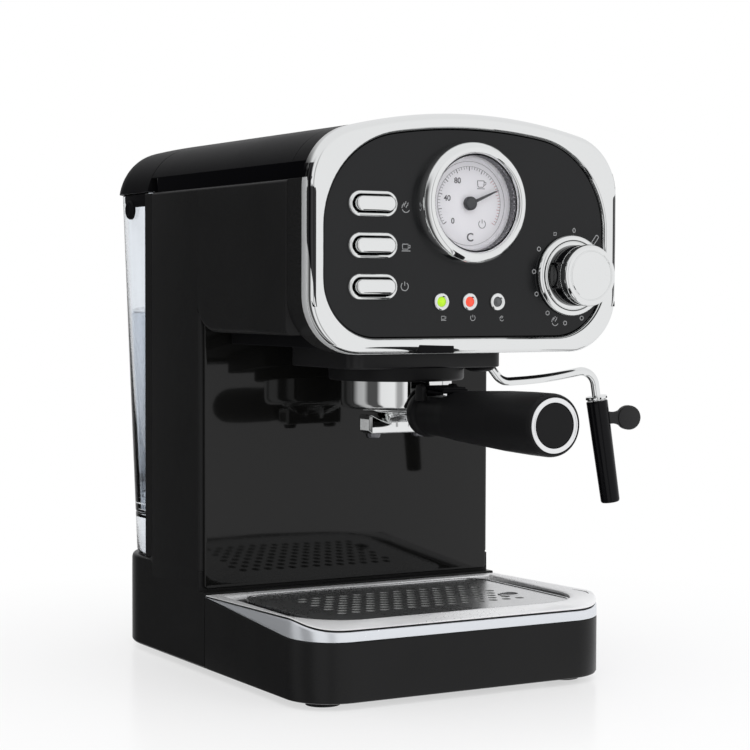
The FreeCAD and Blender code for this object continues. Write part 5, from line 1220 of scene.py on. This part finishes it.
mid = Vector(on_wand(wand_s(141.7) + 17.5, 141.7))
run = (Vector(on_wand(1, 0)) - Vector(on_wand(0, 0))).normalized()
rings = []
for r, d in ((0.001, -2.5), (5.9, -2.5), (6.5, -2.3), (6.85, -1.8), (6.9, -1.2), (6.9, 1.2), (6.85, 1.8),
        (6.5, 2.3), (5.9, 2.5), (0.001, 2.5)):
    rings.append([tuple(mid + across * d + run * a + UP * b) for a, b in circle(r, 56)])
disc = loft(rings, (False, False))
rings = []
for k in range(13):
    t = k / 12
    s = wand_s(141.7) + 3.0 + (17.5 - 5.0) * t
    h = 4.6 - 2.0 * math.sin(math.pi * min(1, t * 1.05)) + 1.6 * t
    w = 1.8
    c = Vector(on_wand(s, 141.7))
    rings.append([tuple(c + across * a_ + UP * b_) for a_, b_ in rounded([(-w, -h, 1.2), (w, -h, 1.2),
        (w, h, 1.2), (-w, h, 1.2)], 4)])
make("sleeve_tab", *join(disc, loft(rings)), MATTE_SOFT, "sleeve")

# ------------------------------------------------------------------ lid arms
arms = []
for x in (-30, 30):
    arms.append(stack(lambda i: rounded([(161.2 + i, 262, 0.4), (161.2 + i, 257.6 + i, 3.4),
        (168.8 - i, 257.6 + i, 3.4), (168.8 - i, 262, 0.4), (168.8 - i, 276, 0.4), (161.2 + i, 276, 0.4)],
        5), edges(x - 3, x + 3, 0.5, 3), "yz"))
make("lid_arms", *join(*arms), MATTE, "lid")

for node in ("tank_seat", "tank_valve", "base_plate", "cord_gland", "rubber_feet", "wand_socket"):
    bevel(frame["nodes"][node], "edge", 0.0004, 2, 40)

# ------------------------------------------------------------------ stage, lights, camera
scene = bpy.context.scene


def stage_material(name, colour, rough, spec):
    mat = bpy.data.materials.new(name)
    mat.use_nodes = True
    bsdf = mat.node_tree.nodes["Principled BSDF"]
    bsdf.inputs["Base Color"].default_value = colour + (1,)
    bsdf.inputs["Roughness"].default_value = rough
    bsdf.inputs["Specular IOR Level"].default_value = spec
    return mat


mesh = bpy.data.meshes.new("floor")
mesh.from_pydata([(-6, -6, 0), (6, -6, 0), (6, 6, 0), (-6, 6, 0)], [], [(0, 1, 2, 3)])
floor_mat = stage_material("floor_pale", (0.93, 0.93, 0.935), 0.2, 0.3)
nodes, links = floor_mat.node_tree.nodes, floor_mat.node_tree.links
coord = nodes.new("ShaderNodeTexCoord")
reach = nodes.new("ShaderNodeVectorMath")
reach.operation = "LENGTH"
links.new(coord.outputs["Object"], reach.inputs[0])
fade = nodes.new("ShaderNodeMapRange")
fade.inputs["From Min"].default_value = -0.35
fade.inputs["From Max"].default_value = 0.42
links.new(reach.outputs["Value"], fade.inputs["Value"])
white = nodes.new("ShaderNodeEmission")
white.inputs["Color"].default_value = (1, 1, 1, 1)
blend = nodes.new("ShaderNodeMixShader")
links.new(fade.outputs["Result"], blend.inputs["Fac"])
links.new(nodes["Principled BSDF"].outputs["BSDF"], blend.inputs[1])
links.new(white.outputs["Emission"], blend.inputs[2])
links.new(blend.outputs["Shader"], nodes["Material Output"].inputs["Surface"])
mesh.materials.append(floor_mat)
floor = bpy.data.objects.new("floor", mesh)
scene.collection.objects.link(floor)
floor.visible_glossy = False

mesh = bpy.data.meshes.new("backdrop")
bm = bmesh.new()
bmesh.ops.create_icosphere(bm, subdivisions=4, radius=5.5)
bm.to_mesh(mesh)
bm.free()
glow = bpy.data.materials.new("backdrop_white")
glow.use_nodes = True
nodes = glow.node_tree.nodes
nodes.clear()
emit = nodes.new("ShaderNodeEmission")
emit.inputs["Color"].default_value = (1, 1, 1, 1)
emit.inputs["Strength"].default_value = 1.0
out = nodes.new("ShaderNodeOutputMaterial")
glow.node_tree.links.new(emit.outputs["Emission"], out.inputs["Surface"])
mesh.materials.append(glow)
backdrop = bpy.data.objects.new("backdrop", mesh)
scene.collection.objects.link(backdrop)
backdrop.visible_diffuse = False
backdrop.visible_glossy = False
backdrop.visible_shadow = False
backdrop.visible_volume_scatter = False


def softbox(name, place, aim, width, height, power):
    """Soft panel light; place and aim in millimetres about the machine."""
    data = bpy.data.lights.new(name, "AREA")
    data.shape = "RECTANGLE"
    data.size = width
    data.size_y = height
    data.energy = power
    lamp = bpy.data.objects.new(name, data)
    scene.collection.objects.link(lamp)
    lamp.location = P(*place)
    lamp.rotation_euler = (P(*aim) - P(*place)).to_track_quat("-Z", "Y").to_euler()
    lamp.visible_camera = False
    lamp.visible_glossy = False
    return lamp


softbox("light_top", (-100, -300, 1500), (0, 0, 100), 1.2, 1.2, 7)
softbox("light_front_right", (1000, -1400, 700), (0, 0, 170), 0.9, 0.9, 3)

world = bpy.data.worlds.new("studio")
scene.world = world
world.use_nodes = True
nodes, links = world.node_tree.nodes, world.node_tree.links
back_node = nodes["Background"]
coord = nodes.new("ShaderNodeTexCoord")
split = nodes.new("ShaderNodeSeparateXYZ")
links.new(coord.outputs["Generated"], split.inputs["Vector"])
around = nodes.new("ShaderNodeMath")
around.operation = "ARCTAN2"
links.new(split.outputs["Y"], around.inputs[0])
links.new(split.outputs["X"], around.inputs[1])
share = nodes.new("ShaderNodeMapRange")
share.inputs["From Min"].default_value = -math.pi
share.inputs["From Max"].default_value = math.pi
links.new(around.outputs["Value"], share.inputs["Value"])
ramp = nodes.new("ShaderNodeValToRGB")
stops = ((-180, 0.08), (-160, 0.08), (-151, 0.9), (-124, 0.95), (-117, 0.4), (-109, 0.4), (-102, 0.95),
    (-20, 0.95), (60, 0.85), (90, 0.3), (104, 0.02), (140, 0.02), (156, 0.45), (170, 0.5), (180, 0.1))
for k, (degrees, level) in enumerate(stops):
    place = (degrees + 180) / 360
    if k == 0:
        stop = ramp.color_ramp.elements[0]
    elif k == len(stops) - 1:
        stop = ramp.color_ramp.elements[-1]
    else:
        stop = ramp.color_ramp.elements.new(place)
    stop.color = (level, level, level * 1.01, 1)
links.new(share.outputs["Result"], ramp.inputs["Fac"])
height = nodes.new("ShaderNodeMapRange")
height.interpolation_type = "SMOOTHSTEP"
height.inputs["From Min"].default_value = 0.3
height.inputs["From Max"].default_value = 0.75
links.new(split.outputs["Z"], height.inputs["Value"])
sky = nodes.new("ShaderNodeMix")
sky.data_type = "RGBA"
sky.inputs["B"].default_value = (0.9, 0.9, 0.91, 1)
links.new(height.outputs["Result"], sky.inputs["Factor"])
links.new(ramp.outputs["Color"], sky.inputs["A"])
links.new(sky.outputs["Result"], back_node.inputs["Color"])
back_node.inputs["Strength"].default_value = 1.0

cam_data = bpy.data.cameras.new("camera")
cam_data.sensor_width = 36
cam_data.lens = 97.16
cam_data.clip_start = 0.05
cam_data.clip_end = 30
camera = bpy.data.objects.new("camera", cam_data)
scene.collection.objects.link(camera)
yaw, pitch, roll = math.radians(-29.93), math.radians(2.35), math.radians(0.16)
back = Vector((math.sin(yaw) * math.cos(pitch), -math.cos(yaw) * math.cos(pitch), math.sin(pitch)))
right = (-back).cross(Vector((0, 0, 1))).normalized()
up = right.cross(-back)
right, up = right * math.cos(roll) + up * math.sin(roll), -right * math.sin(roll) + up * math.cos(roll)
turn = Matrix((right, up, back)).transposed().to_4x4()
turn.translation = P(-0.76, 0, 165.31) + back * 1.13792
camera.matrix_world = turn
scene.camera = camera
scene.view_settings.view_transform = "Standard"
